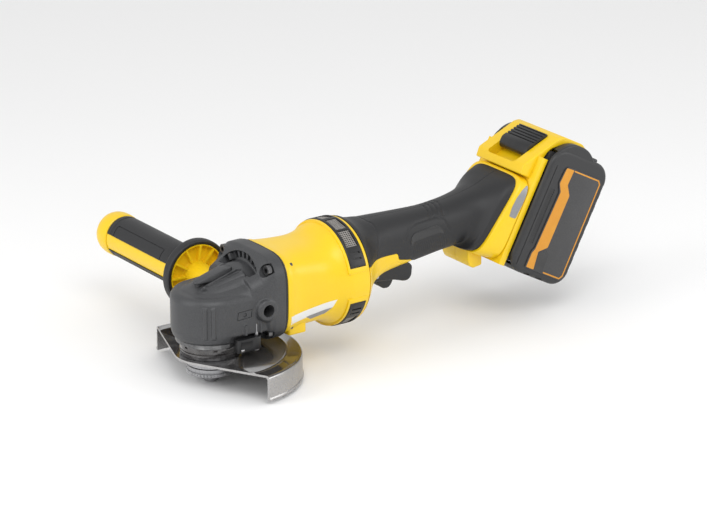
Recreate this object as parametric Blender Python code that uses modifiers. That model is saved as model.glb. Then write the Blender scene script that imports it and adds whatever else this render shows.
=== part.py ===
"""Cordless angle grinder, battery powered, as separate solid sub-parts.

Frame: the origin is the centre of the spindle's end face, +Z runs up the spindle, +X runs
from the gear head to the battery and the side handle is screwed in on the +Y side.
All numbers in the tables are millimetres; they are turned into metres when a mesh is made.
"""
import math

import bmesh
import bpy
from mathutils import Matrix, Vector

MM = 0.001
GAP = 0.3                  # air left between two pieces that touch
SEG = 28                   # points round a housing section

# gear head
MOTOR_Z = 70.8             # height of the rotor axis over the spindle nose
NOSE_STEPS = 16            # facets round the nose of the gear case
CASE_FRONT_R = 33.0        # nose of the gear case round the spindle
CASE_BOTTOM_Z = 40.6
CASE_REAR_X = 49.2
FLANGE_A = 40.5            # half width of the gear case flange
FLANGE_B = 37.7            # half height of the gear case flange
FLANGE_SCREW_Y = 32.5
FLANGE_SCREW_DZ = 27.5
HANDLE_X = 31.3            # side handle axis
HANDLE_Z = 66.0
SOCKET_R = 5.3             # M10 side handle socket
LEVER_PIN = (23.0, -34.0)  # upright pin of the guard release lever
LOCK_PIN_X = -11.6         # spindle lock pin, in front of the spindle

# bevel gears
RING_TEETH = 32
PINION_TEETH = 10
RING_R = 22.0              # outer pitch radius of the ring gear
FACE_IN = 14.0             # inner end of the teeth
PINION_R = RING_R * PINION_TEETH / RING_TEETH
ADDENDUM = 0.95
DEDENDUM = 1.35
TOOTH_POINTS = (-0.31, -0.15, 0.15, 0.31)  # where a tooth changes slope, in pitches

# spindle group
NOSE_R = 7.0               # M14 spindle nose
NUT_R = 21.0
FLANGE_R = 20.6
NECK_R = 22.3

# guard for a 125 mm disc
GUARD_R = 76.5
GUARD_TOP_Z = 25.0
GUARD_LIP_Z = 3.0
GUARD_T = 1.9
GUARD_NEAR_DEG = -84.0
GUARD_FAR_DEG = 93.7

# motor
RING_X0 = 113.0            # rear ring of the motor housing
RING_X1 = 131.0
RING_OUT_R = 45.5
BORE_R = 31.5
STATOR_R = 31.2
ROTOR_R = 15.6
SCREEN_X0 = 112.0          # intake screens in the rear ring
SCREEN_X1 = 127.6

# handle
PADDLE_X = 158.5           # cross pin of the paddle
PADDLE_Z = 61.6

# battery and foot, tilted about Y
TILT_DEG = 28.0
BATT_W = 43.4              # half width of the pack
TILT = math.radians(TILT_DEG)

# side handle
GRIP_R = 18.5
DISC_R = 30.5
DISC_RIBS = 10
END_Y = 209.0


# ---------------------------------------------------------------- helpers
def clear_scene():
    for obj in list(bpy.data.objects):
        bpy.data.objects.remove(obj, do_unlink=True)
    for coll in list(bpy.data.collections):
        bpy.data.collections.remove(coll)


def make_collection(name):
    coll = bpy.data.collections.new(name)
    bpy.context.scene.collection.children.link(coll)
    return coll


def make_material(name, rgb, rough, metal):
    mat = bpy.data.materials.new(name)
    mat.use_nodes = True
    shader = mat.node_tree.nodes["Principled BSDF"]
    shader.inputs["Base Color"].default_value = (*rgb, 1.0)
    shader.inputs["Roughness"].default_value = rough
    shader.inputs["Metallic"].default_value = metal
    mat.diffuse_color = (*rgb, 1.0)
    return mat


LOOKS = {
    "yellow": ((0.85, 0.60, 0.02), 0.35, 0.0),
    "black": ((0.030, 0.030, 0.032), 0.6, 0.0),
    "rubber": ((0.045, 0.045, 0.048), 0.75, 0.0),
    "casting": ((0.075, 0.077, 0.082), 0.45, 0.3),
    "steel": ((0.45, 0.45, 0.46), 0.32, 1.0),
    "dark_steel": ((0.10, 0.10, 0.11), 0.3, 0.9),
    "alloy": ((0.60, 0.61, 0.62), 0.4, 1.0),
    "laminate": ((0.20, 0.21, 0.23), 0.5, 0.8),
    "board": ((0.03, 0.16, 0.10), 0.5, 0.0),
}


def mesh_object(name, mesh, coll, look=None, smooth=True):
    obj = bpy.data.objects.new(name, mesh)
    coll.objects.link(obj)
    if look is not None:
        obj.data.materials.append(make_material(name + "_mat", *LOOKS[look]))
    if smooth:
        mesh.shade_smooth()
        mesh.set_sharp_from_angle(angle=math.radians(35))
    return obj


def as_cutter(obj):
    obj.hide_render = True
    obj.display_type = "WIRE"
    return obj


def section_yz(x, zc, a, b, n, tilt=0.0, n_low=None):
    """Rounded section across the X axis: half width a, half height b, corner power n."""
    points = []
    for k in range(SEG):
        t = 2 * math.pi * k / SEG
        c, s = math.cos(t), math.sin(t)
        power = 2 / (n_low if n_low and s < 0 else n)
        y = a * math.copysign(abs(c) ** power, c)
        h = b * math.copysign(abs(s) ** power, s)
        points.append((x + h * math.sin(tilt), y, zc + h * math.cos(tilt)))
    return points


def loft(name, rings, coll, look=None):
    """Closed skin through rings of equal point count, capped at both ends."""
    bm = bmesh.new()
    rows = [[bm.verts.new(Vector(p) * MM) for p in ring] for ring in rings]
    count = len(rows[0])
    for lower, upper in zip(rows, rows[1:]):
        for k in range(count):
            j = (k + 1) % count
            bm.faces.new((lower[k], lower[j], upper[j], upper[k]))
    bm.faces.new(rows[0])
    bm.faces.new(rows[-1])
    bmesh.ops.triangulate(bm, faces=[f for f in bm.faces if len(f.verts) == 4])
    bmesh.ops.recalc_face_normals(bm, faces=bm.faces)
    mesh = bpy.data.meshes.new(name)
    bm.to_mesh(mesh)
    bm.free()
    return mesh_object(name, mesh, coll, look)


def turned(name, profile, coll, look=None, steps=32, axis="Z", centre=(0, 0, 0)):
    """Solid of revolution; profile is (radius, height) down the outer side."""
    bm = bmesh.new()
    verts = [bm.verts.new((r * MM, 0, z * MM)) for r, z in profile]
    for a, b in zip(verts, verts[1:] + verts[:1]):
        if a.co.x < 1e-9 and b.co.x < 1e-9:
            continue
        bm.edges.new((a, b))
    mesh = bpy.data.meshes.new(name)
    bm.to_mesh(mesh)
    bm.free()
    obj = mesh_object(name, mesh, coll, look, smooth=False)
    screw = obj.modifiers.new("turn", "SCREW")
    screw.steps = steps
    screw.render_steps = steps
    screw.use_merge_vertices = True
    screw.merge_threshold = 0.00001
    screw.use_smooth_shade = True
    obj.location = Vector(centre) * MM
    if axis == "X":
        obj.rotation_euler = (0, math.pi / 2, 0)
    if axis == "Y":
        obj.rotation_euler = (-math.pi / 2, 0, 0)
    return obj


def prism(name, outline, low, high, coll, look=None, plane="XY", tilt=0.0):
    """Filled 2D outline given thickness between two levels, as a mesh."""
    curve = bpy.data.curves.new(name, "CURVE")
    curve.dimensions = "2D"
    curve.fill_mode = "BOTH"
    curve.extrude = (high - low) / 2 * MM
    spline = curve.splines.new("POLY")
    spline.points.add(len(outline) - 1)
    for point, (u, v) in zip(spline.points, outline):
        point.co = (u * MM, v * MM, 0, 1)
    spline.use_cyclic_u = True
    temp = bpy.data.objects.new(name + "_outline", curve)
    bpy.context.scene.collection.objects.link(temp)
    mesh = bpy.data.meshes.new_from_object(temp)
    bpy.data.objects.remove(temp, do_unlink=True)
    mesh.materials.clear()
    middle = (low + high) / 2 * MM
    if plane == "XY":
        mesh.transform(Matrix.Translation((0, 0, middle)))
    else:
        turn = Matrix.Rotation(math.pi / 2, 4, "X")
        mesh.transform(Matrix.Translation((0, middle, 0)) @ turn)
    bm = bmesh.new()
    bm.from_mesh(mesh)
    bmesh.ops.remove_doubles(bm, verts=bm.verts, dist=1e-7)
    bmesh.ops.recalc_face_normals(bm, faces=bm.faces)
    bm.to_mesh(mesh)
    bm.free()
    mesh.name = name
    obj = mesh_object(name, mesh, coll, look, smooth=False)
    obj.rotation_euler = (0, tilt, 0)
    return obj


def block(name, low, high, coll, look=None):
    """Rectangular bar between two corners."""
    bm = bmesh.new()
    bmesh.ops.create_cube(bm, size=1.0)
    size = Vector(high) - Vector(low)
    middle = (Vector(high) + Vector(low)) / 2
    for v in bm.verts:
        v.co = Vector((v.co.x * size.x, v.co.y * size.y, v.co.z * size.z)) * MM + middle * MM
    mesh = bpy.data.meshes.new(name)
    bm.to_mesh(mesh)
    bm.free()
    return mesh_object(name, mesh, coll, look, smooth=False)


def many_blocks(name, boxes, coll, look=None):
    """Several separate bars in one cutting tool; each is (size, matrix)."""
    bm = bmesh.new()
    for size, matrix in boxes:
        made = bmesh.ops.create_cube(bm, size=1.0)["verts"]
        for v in made:
            v.co = Vector((v.co.x * size[0], v.co.y * size[1], v.co.z * size[2])) * MM
        bmesh.ops.transform(bm, matrix=matrix, verts=made)
    mesh = bpy.data.meshes.new(name)
    bm.to_mesh(mesh)
    bm.free()
    return mesh_object(name, mesh, coll, look, smooth=False)


def rounded_outline(x0, y0, x1, y1, r, steps=3):
    points = []
    for cx, cy, start in ((x1 - r, y1 - r, 0), (x0 + r, y1 - r, 90),
                          (x0 + r, y0 + r, 180), (x1 - r, y0 + r, 270)):
        for k in range(steps + 1):
            t = math.radians(start + 90 * k / steps)
            points.append((cx + r * math.cos(t), cy + r * math.sin(t)))
    return points


def boolean(obj, tool, operation):
    mod = obj.modifiers.new(operation.lower() + "_" + tool.name[:40], "BOOLEAN")
    mod.operation = operation
    mod.solver = "EXACT"
    mod.object = tool
    return mod


def cut(obj, *tools):
    for tool in tools:
        boolean(obj, as_cutter(tool), "DIFFERENCE")


def add(obj, *tools):
    for tool in tools:
        boolean(obj, as_cutter(tool), "UNION")


def keep(obj, tool):
    boolean(obj, as_cutter(tool), "INTERSECT")


def round_edges(obj, width, segments=2, angle=40):
    mod = obj.modifiers.new("edges", "BEVEL")
    mod.width = width * MM
    mod.segments = segments
    mod.limit_method = "ANGLE"
    mod.angle_limit = math.radians(angle)
    return mod


def coil(name, radius, wire, length, turns, coll, centre, axis="Z", tilt=0.0):
    """Helical spring drawn as a bevelled curve with closed ends."""
    curve = bpy.data.curves.new(name, "CURVE")
    curve.dimensions = "3D"
    curve.bevel_depth = wire * MM
    curve.bevel_resolution = 0
    curve.use_fill_caps = True
    spline = curve.splines.new("POLY")
    per_turn = 8
    count = turns * per_turn
    spline.points.add(count)
    for k, point in enumerate(spline.points):
        t = 2 * math.pi * k / per_turn
        height = wire + (length - 2 * wire) * k / count
        point.co = (radius * MM * math.cos(t), radius * MM * math.sin(t), height * MM, 1)
    obj = bpy.data.objects.new(name, curve)
    coll.objects.link(obj)
    curve.materials.append(make_material(name + "_mat", *LOOKS["steel"]))
    obj.location = Vector(centre) * MM
    obj.rotation_euler = (0, tilt, 0)
    return obj


def tilted(d, y, l):
    """World position of a point given in the battery's tilted frame."""
    return (d * math.cos(TILT) + l * math.sin(TILT), y,
            -d * math.sin(TILT) + l * math.cos(TILT))


# ---------------------------------------------------------------- gear head
def nose_ring(z, r, width, rear=40.0):
    """Horizontal outline of the gear case: round nose, sides widening to the rear."""
    points = []
    for k in range(NOSE_STEPS + 1):
        t = math.radians(90 + 180 * k / NOSE_STEPS)
        points.append((r * math.cos(t), r * math.sin(t), z))
    points += [(rear * f, -(r + (width - r) * f), z) for f in (0.5, 1.0)]
    points += [(rear * f, r + (width - r) * f, z) for f in (1.0, 0.5)]
    return points


def flange_ring(x, shrink=0.0, zc=MOTOR_Z, n=4.0, a=FLANGE_A, b=FLANGE_B):
    return section_yz(x, zc, a - shrink, b - shrink, n)


def gear_case(parts, cutters):
    body = loft("gear_case", [
        nose_ring(CASE_BOTTOM_Z, 29.6, 32.0), nose_ring(43.5, 31.8, 35.5),
        nose_ring(48.0, CASE_FRONT_R, 38.0), nose_ring(74.5, CASE_FRONT_R, 38.0),
        nose_ring(78.0, 31.6, 36.5), nose_ring(80.4, 29.0, 34.0)], parts, "casting")
    roof = loft("case_roof", [
        section_yz(x, 74.0, a, top - 74.0, n) for x, a, top, n in (
            (-21.2, 9.0, 77.5, 2.2), (-19.5, 13.0, 80.5, 2.3), (-15.0, 17.5, 83.3, 2.5),
            (-5.0, 21.0, 87.0, 2.8), (10.0, 23.5, 91.0, 2.9), (25.0, 26.0, 95.5, 2.9),
            (44.0, 34.0, 103.5, 3.0))], cutters)
    flange = loft("case_flange", [
        section_yz(20.0, 69.5, 34.0, 22.0, 4.0), section_yz(30.2, 69.8, 37.5, 27.0, 4.0),
        section_yz(33.5, 70.2, 40.0, 34.0, 4.0), flange_ring(37.0, 0.6), flange_ring(39.0),
        flange_ring(CASE_REAR_X)], cutters)
    add(body, roof, flange)
    for side, sign in (("near", -1), ("far", 1)):
        boss = turned("boss_" + side, [(0, 9.2), (8.6, 9.2), (9.6, 8.2), (9.6, 0), (0, 0)],
                      cutters, steps=24, axis="Y", centre=(HANDLE_X, 0, HANDLE_Z))
        boss.location.y = sign * 32.0 * MM
        if sign < 0:
            boss.rotation_euler = (math.pi / 2, 0, 0)
        add(body, boss)
    room = gear_rooms(cutters)
    add(room, vent_slots(cutters), lever_pocket(cutters), lock_slot(cutters))
    for index, (y, z) in enumerate(flange_screw_places()):
        pocket = turned("screw_pocket_%d" % index, [(0, 12), (5.4, 12), (5.4, 0), (0, 0)],
                        cutters, steps=12, axis="X", centre=(27.6, y, z))
        bore = turned("screw_bore_%d" % index, [(0, 14), (2.35, 14), (2.35, 0), (0, 0)],
                      cutters, steps=8, axis="X", centre=(38.0, y, z))
        add(room, pocket, bore)
    for index, (x, y) in enumerate(cap_screw_places()):
        add(room, turned("cap_bore_%d" % index, [(0, 8), (1.75, 8), (1.75, 0), (0, 0)],
                         cutters, steps=8, centre=(x, y, 39.0)))
    add(room, turned("lever_pin_bore", [(0, 55.4), (1.95, 55.4), (1.95, 46.0), (0, 46.0)],
                     cutters, steps=8, centre=(*LEVER_PIN, 0)))
    cut(body, room)
    return body


def gear_rooms(cutters):
    """Gear room, bearing seats, fan room and both handle sockets as one cutting tool."""
    room = turned("gear_room", [
        (0, 79.2), (15.0, 79.2), (21.5, 74.5), (25.8, 68.0), (25.8, 47.0), (23.4, 46.7),
        (23.4, 38.0), (0, 38.0)], cutters, steps=28)
    add(room, turned("needle_pocket", [(0, 82.0), (8.1, 82.0), (8.1, 72.0), (0, 72.0)],
                     cutters, steps=24))
    add(room, turned("pinion_room", [(0, 36.0), (9.3, 36.0), (9.3, 11.0), (0, 11.0)],
                     cutters, steps=20, axis="X", centre=(0, 0, MOTOR_Z)))
    add(room, turned("fan_room", [(0, 52.0), (34.6, 52.0), (34.6, 44.0), (11.15, 43.2),
                                  (11.15, 35.4), (0, 35.4)],
                     cutters, steps=36, axis="X", centre=(0, 0, MOTOR_Z)))
    for side, sign in (("near", -1), ("far", 1)):
        socket = turned("socket_" + side, [(0, 16.0), (SOCKET_R, 16.0), (SOCKET_R, 0), (0, 0)],
                        cutters, steps=24, axis="Y", centre=(HANDLE_X, 0, HANDLE_Z))
        socket.location.y = sign * 28.0 * MM
        if sign < 0:
            socket.rotation_euler = (math.pi / 2, 0, 0)
        add(room, socket)
    return room


def flange_screw_places():
    return [(sy * FLANGE_SCREW_Y, MOTOR_Z + sz * FLANGE_SCREW_DZ)
            for sy in (-1, 1) for sz in (-1, 1)]


def cap_screw_places():
    r = 26.2
    return [(r * math.cos(math.radians(t)), r * math.sin(math.radians(t)))
            for t in (45, 135, 225, 315)]


def vent_slots(cutters):
    """Fan exhaust: an arc of slots through the front wall of the flange."""
    boxes = []
    for k in range(-4, 5):
        turn = Matrix.Rotation(math.radians(11.5 * k), 4, "X")
        place = Matrix.Translation((0.0385, 0, 0.031))
        base = Matrix.Translation((0, 0, MOTOR_Z * MM))
        boxes.append(((12.0, 3.4, 5.2), base @ turn @ place))
    return many_blocks("vent_slots", boxes, cutters)


def lever_pocket(cutters):
    return block("lever_pocket", (-1.5, -46, 30), (27.5, -29.6, 47.4), cutters)


def lock_slot(cutters):
    """Slot along the roof for the spindle lock button and the bore of its pin."""
    outline = rounded_outline(-16.4, -4.9, 21.4, 4.9, 4.8)
    slot = prism("lock_slot", outline, 84.2, 110, cutters)
    add(slot, turned("lock_pin_bore", [(0, 90), (2.35, 90), (2.35, 66), (0, 66)], cutters,
                     steps=12, centre=(LOCK_PIN_X, 0, 0)))
    return slot


def gear_case_gasket(parts, cutters):
    gasket = loft("gear_case_gasket", [
        flange_ring(CASE_REAR_X + 0.3, 0.8), flange_ring(CASE_REAR_X + 2.1, 0.8)],
        parts, "rubber")
    cut(gasket, turned("gasket_hole", [(0, 60), (BORE_R, 60), (BORE_R, 40), (0, 40)], cutters,
                       axis="X", centre=(0, 0, MOTOR_Z)))
    for index, (y, z) in enumerate(flange_screw_places()):
        cut(gasket, turned("gasket_bore_%d" % index, [(0, 10), (2.3, 10), (2.3, 0), (0, 0)],
                           cutters, steps=8, axis="X", centre=(46, y, z)))
    return gasket


def screw(name, parts, cutters, head_r, head_h, shank_r, length, axis, centre, flip=False):
    """Socket screw: head at the high end of the axis unless flipped."""
    profile = [(0, head_h), (head_r, head_h), (head_r, 0), (shank_r, 0), (shank_r, -length),
               (0, -length)]
    obj = turned(name, profile, parts, "dark_steel", steps=10, axis=axis, centre=centre)
    socket = prism(name + "_socket", [(head_r * 0.5 * math.cos(math.radians(60 * k)),
                                       head_r * 0.5 * math.sin(math.radians(60 * k)))
                                      for k in range(6)], head_h * 0.35, head_h + 1, cutters)
    socket.location = obj.location
    if flip:
        turn = {"X": (0, -math.pi / 2, 0), "Y": (math.pi / 2, 0, 0), "Z": (math.pi, 0, 0)}
        obj.rotation_euler = turn[axis]
    socket.rotation_euler = obj.rotation_euler
    cut(obj, socket)
    return obj


def bearing_cap(parts, cutters):
    cap = turned("bearing_cap", [
        (23.1, 46.4), (23.1, 40.3), (29.3, 40.3), (29.3, 36.9), (NECK_R, 36.6),
        (NECK_R, 24.3), (11.0, 24.3), (11.0, 36.4), (16.35, 36.4), (16.35, 46.4)],
        parts, "alloy", steps=24)
    for index, (x, y) in enumerate(cap_screw_places()):
        cut(cap, turned("cap_head_room_%d" % index, [(0, 2.4), (2.75, 2.4), (2.75, -1), (0, -1)],
                        cutters, steps=8, centre=(x, y, 36.5)))
        cut(cap, turned("cap_hole_%d" % index, [(0, 10), (1.75, 10), (1.75, 0), (0, 0)],
                        cutters, steps=8, centre=(x, y, 34.0)))
    return cap


def spindle(parts):
    return turned("spindle", [
        (0, 81.2), (3.9, 81.2), (4.3, 80.8), (4.3, 66.5), (6.4, 66.5), (6.4, 48.6),
        (7.45, 48.6), (7.45, 36.2), (9.8, 36.2), (9.8, 21.4), (NOSE_R, 21.4), (NOSE_R, 1.0),
        (6.0, 0.0), (0, 0.0)], parts, "steel", steps=20)


def annulus(name, r_in, r_out, low, high, parts, look, axis="Z", centre=(0, 0, 0), edge=0.5):
    profile = [(r_in, high), (r_out - edge, high), (r_out, high - edge), (r_out, low + edge),
               (r_out - edge, low), (r_in, low)]
    return turned(name, profile, parts, look, steps=20, axis=axis, centre=centre)


def ball_bearing(name, r_in, r_out, low, high, parts, axis="Z", centre=(0, 0, 0)):
    """Sealed bearing: two races with the shield set back between them."""
    race = (r_out - r_in) * 0.26
    sink = 0.5
    profile = [(r_in, high), (r_in + race, high - sink), (r_out - race, high - sink),
               (r_out, high), (r_out, low), (r_out - race, low + sink),
               (r_in + race, low + sink), (r_in, low)]
    return turned(name, profile, parts, "steel", steps=20, axis=axis, centre=centre)


def tooth_wave(phase, share):
    """Height factor of a straight tooth over one pitch, phase 0 at the tooth centre."""
    flat = share * 0.30
    foot = share * 0.62
    d = abs(phase)
    if d <= flat:
        return 1.0
    if d >= foot:
        return 0.0
    return (foot - d) / (foot - flat)


def fan_faces(bm, few, many, ratio):
    """Join a coarse ring of points to one with `ratio` times as many."""
    count = len(few)
    for k in range(count):
        after = few[(k + 1) % count]
        group = [many[(k * ratio + m) % len(many)] for m in range(ratio + 1)]
        for a, b in zip(group, group[1:]):
            bm.faces.new((few[k], a, b))
        bm.faces.new((few[k], group[-1], after))


def ring_gear(parts):
    """Ring bevel gear with its teeth facing up to the pinion and a sunk web."""
    bm = bmesh.new()
    slope = PINION_R / RING_R

    def plain(radius, level):
        row = []
        for tooth in range(RING_TEETH):
            t = 2 * math.pi * (tooth + TOOTH_POINTS[0]) / RING_TEETH
            row.append(bm.verts.new((radius * math.cos(t) * MM, radius * math.sin(t) * MM,
                                     level * MM)))
        return row

    def toothed(radius):
        row = []
        scale = radius / RING_R
        for tooth in range(RING_TEETH):
            for phase in TOOTH_POINTS:
                t = 2 * math.pi * (tooth + phase) / RING_TEETH
                z = MOTOR_Z - slope * radius - DEDENDUM * scale
                z += tooth_wave(phase, 0.5) * (ADDENDUM + DEDENDUM) * scale
                row.append(bm.verts.new((radius * math.cos(t) * MM, radius * math.sin(t) * MM,
                                         z * MM)))
        return row

    bottom_out = plain(RING_R - 1.0, 52.5)
    bottom_in = plain(6.45, 52.5)
    top_in = plain(6.45, 61.5)
    web = plain(FACE_IN - 0.1, 61.5)
    tooth_in = toothed(FACE_IN)
    tooth_out = toothed(RING_R + 0.4)
    for lower, upper in ((bottom_out, bottom_in), (bottom_in, top_in), (top_in, web),
                         (tooth_in, tooth_out)):
        count = len(lower)
        for k in range(count):
            j = (k + 1) % count
            bm.faces.new((lower[k], lower[j], upper[j], upper[k]))
    fan_faces(bm, web, tooth_in, len(TOOTH_POINTS))
    fan_faces(bm, bottom_out, tooth_out, len(TOOTH_POINTS))
    bmesh.ops.recalc_face_normals(bm, faces=bm.faces)
    mesh = bpy.data.meshes.new("ring_gear")
    bm.to_mesh(mesh)
    bm.free()
    return mesh_object("ring_gear", mesh, parts, "steel")


def pinion(parts, cutters):
    """Bevel pinion on the rotor axis, a gap of its teeth over the ring gear tooth."""
    rings = []
    for x in (FACE_IN, RING_R):
        scale = x / RING_R
        ring = []
        for tooth in range(PINION_TEETH):
            for phase in TOOTH_POINTS:
                t = 2 * math.pi * (tooth + 0.5 + phase) / PINION_TEETH - math.pi / 2
                share = tooth_wave(phase, 0.5)
                r = (PINION_R - DEDENDUM + share * (ADDENDUM + DEDENDUM)) * scale
                ring.append((x, r * math.cos(t), MOTOR_Z + r * math.sin(t)))
        rings.append(ring)
    gear = loft("pinion", rings, parts, "steel")
    hub = turned("pinion_hub", [(0, 27.0), (5.6, 27.0), (5.6, 21.0), (0, 21.0)], cutters,
                 steps=32, axis="X", centre=(0, 0, MOTOR_Z))
    add(gear, hub)
    cut(gear, turned("pinion_bore", [(0, 30), (2.55, 30), (2.55, 10), (0, 10)], cutters,
                     steps=24, axis="X", centre=(0, 0, MOTOR_Z)))
    return gear


def inner_flange(parts):
    return turned("inner_flange", [
        (9.5, 21.2), (18.8, 21.2), (FLANGE_R, 19.6), (FLANGE_R, 16.2), (19.8, 15.9),
        (15.0, 15.9), (14.6, 16.5), (NOSE_R + 0.15, 16.5), (NOSE_R + 0.15, 21.2)],
        parts, "steel", steps=24)


def clamp_nut(parts, cutters):
    nut = turned("clamp_nut", [
        (10.4, 15.6), (NUT_R - 0.4, 15.6), (NUT_R, 15.0), (NUT_R, 9.2), (NUT_R - 0.9, 8.2),
        (11.0, 8.2), (10.4, 8.8), (NOSE_R + 0.15, 8.8), (NOSE_R + 0.15, 15.2), (10.4, 15.2)],
        parts, "steel", steps=28)
    holes = []
    for k in range(4):
        t = math.radians(45 + 90 * k)
        holes.append(((4.4, 4.4, 5.0), Matrix.Rotation(t, 4, "Z")
                      @ Matrix.Translation((0.0155, 0, 0.0085))))
    cut(nut, many_blocks("nut_key_holes", holes, cutters))
    return nut


# ---------------------------------------------------------------- guard
def guard_outline():
    """Region in front of the guard that is left open, as a cutting outline."""
    front_r = 30.5
    near = math.radians(GUARD_NEAR_DEG)
    far = math.radians(GUARD_FAR_DEG)
    near_corner = (GUARD_R * math.cos(near), GUARD_R * math.sin(near))
    far_corner = (GUARD_R * math.cos(far), GUARD_R * math.sin(far))
    spread = math.acos(front_r / GUARD_R)
    start = far + spread
    stop = near + 2 * math.pi - spread
    points = [(far_corner[0], far_corner[1] + 25), far_corner]
    for k in range(15):
        t = start + (stop - start) * k / 14
        points.append((front_r * math.cos(t), front_r * math.sin(t)))
    points += [near_corner, (near_corner[0], near_corner[1] - 25), (-120, -110), (-120, 110)]
    return points


def guard(parts, cutters):
    bead = 1.1
    out = GUARD_R
    inner = GUARD_R - GUARD_T
    top = GUARD_TOP_Z
    obj = turned("guard", [
        (NECK_R + 0.4, top), (62.0, top), (62.8, top + 0.7), (64.2, top + 0.7), (65.0, top),
        (out - 3.0, top), (out - 0.9, top - 0.9), (out, top - 3.0),
        (out, GUARD_LIP_Z + 3.0), (out + bead, GUARD_LIP_Z + 2.0),
        (out + bead, GUARD_LIP_Z + 0.6), (out + 0.4, GUARD_LIP_Z), (inner, GUARD_LIP_Z),
        (inner, top - 3.6), (inner - 1.6, top - GUARD_T), (NECK_R + 0.4, top - GUARD_T)],
        parts, "dark_steel", steps=50)
    cut(obj, prism("guard_front", guard_outline(), -5, 40, cutters))
    return obj


def guard_collar(parts, cutters):
    collar = turned("guard_collar", [
        (NECK_R + 0.4, 36.0), (25.3, 36.0), (25.9, 35.4), (25.9, 25.9), (25.3, 25.3),
        (NECK_R + 0.4, 25.3)], parts, "dark_steel", steps=30)
    notches = []
    for k in range(6):
        t = math.radians(60 * k + 6)
        notches.append(((3.0, 3.2, 3.4), Matrix.Rotation(t, 4, "Z")
                        @ Matrix.Translation((0.0262, 0, 0.0352))))
    cut(collar, many_blocks("collar_notches", notches, cutters))
    return collar


def guard_lever(parts, cutters):
    """Release lever: swings on an upright pin, its pawl faces the collar."""
    px, py = LEVER_PIN
    outline = [(-20.0, -3.6), (-16.0, -4.4), (0.0, -4.2), (3.4, -2.4), (4.2, 0.0),
               (3.2, 3.0), (0.0, 4.0), (-8.0, 3.4), (-17.0, 3.4), (-20.4, 2.0)]
    lever = prism("guard_lever", outline, 33.6, 44.6, parts, "black")
    round_edges(lever, 0.6, 1)
    cut(lever, turned("lever_bore", [(0, 60), (1.75, 60), (1.75, 20), (0, 20)], cutters,
                      steps=20, centre=(px, py, 0)))
    lever.location = (px * MM, py * MM, 0)
    pin = turned("guard_lever_pin", [(0, 55.0), (1.65, 55.0), (1.65, 33.0), (2.6, 33.0),
                                     (2.6, 32.0), (0, 32.0)], parts, "steel", steps=12,
                 centre=(px, py, 0))
    return lever, pin


# ---------------------------------------------------------------- spindle lock
def spindle_lock(parts, cutters):
    button = prism("spindle_lock_button", rounded_outline(-16.0, -4.5, 21.0, 4.5, 4.4),
                   87.6, 96.0, parts, "black")
    slope = loft("lock_slope", [
        section_yz(x, 120.0, 30.0, 120.0 - z, 20.0) for x, z in ((-30.0, 85.2), (40.0, 103.4))],
        cutters)
    cut(button, slope)
    pin = turned("lock_pin", [(0, 88.5), (2.0, 88.5), (2.0, 70.2), (1.6, 69.8), (0, 69.8)],
                 cutters, steps=12, centre=(LOCK_PIN_X, 0, 0))
    add(button, pin)
    spring = coil("spindle_lock_spring", 3.4, 0.35, 2.9, 3, parts, (12.0, 0, 84.45))
    return button, spring


# ---------------------------------------------------------------- motor
def motor_housing(parts, cutters):
    table = ((51.6, 40.5, 35.9, 3.5), (57.0, 40.5, 35.9, 3.5), (59.5, 39.2, 35.2, 3.4),
             (75.0, 38.2, 34.6, 3.1), (90.0, 38.2, 34.8, 2.8), (100.0, 39.8, 37.2, 2.5),
             (107.0, 42.6, 41.6, 2.2), (RING_X0, RING_OUT_R, RING_OUT_R, 2.0),
             (RING_X1, RING_OUT_R, RING_OUT_R, 2.0))
    body = loft("motor_housing", [section_yz(x, MOTOR_Z, a, b, n) for x, a, b, n in table],
                parts, "yellow")
    bore = turned("housing_bore", [
        (0, 140), (41.8, 140), (41.8, 116), (BORE_R, 104), (BORE_R, 40), (0, 40)], cutters,
        axis="X", centre=(0, 0, MOTOR_Z))
    for side, sign in (("near", -1), ("far", 1)):
        add(body, prism("tab_" + side, rounded_outline(57.0, sign * 26 - 6, 75.0, sign * 26 + 6,
                                                       2), 35.2, 50, cutters))
    cut(body, bore)
    for index, (y, z) in enumerate(flange_screw_places()):
        cut(body, turned("housing_screw_%d" % index, [(0, 15), (1.95, 15), (1.95, 0), (0, 0)],
                         cutters, steps=8, axis="X", centre=(50, y, z)))
    cut(body, screen_seat("upper_seat", 20.0, 160.0, GAP, cutters),
        screen_seat("lower_seat", 200.0, 340.0, GAP, cutters))
    return body


def arc_band(r_in, r_out, start, stop, steps=14):
    outer = []
    inner = []
    for k in range(steps + 1):
        t = math.radians(start + (stop - start) * k / steps)
        outer.append((r_out * math.cos(t), r_out * math.sin(t)))
        inner.append((r_in * math.cos(t), r_in * math.sin(t)))
    return outer + inner[::-1]


def across_x(name, outline, x0, x1, coll, look=None):
    """Outline in the plane across X (u to +Y, v to +Z) centred on the rotor axis."""
    obj = prism(name, outline, x0, x1, coll, look)
    turn = Matrix(((0, 0, 1, 0), (1, 0, 0, 0), (0, 1, 0, 0), (0, 0, 0, 1)))
    obj.data.transform(Matrix.Translation((0, 0, MOTOR_Z * MM)) @ turn)
    return obj


def screen_seat(name, start, stop, clear, cutters):
    over = math.degrees(clear / 44.0)
    return across_x(name, arc_band(43.3 - clear, 60.0, start - over, stop + over),
                    SCREEN_X0 - clear, SCREEN_X1 + clear, cutters)


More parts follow.
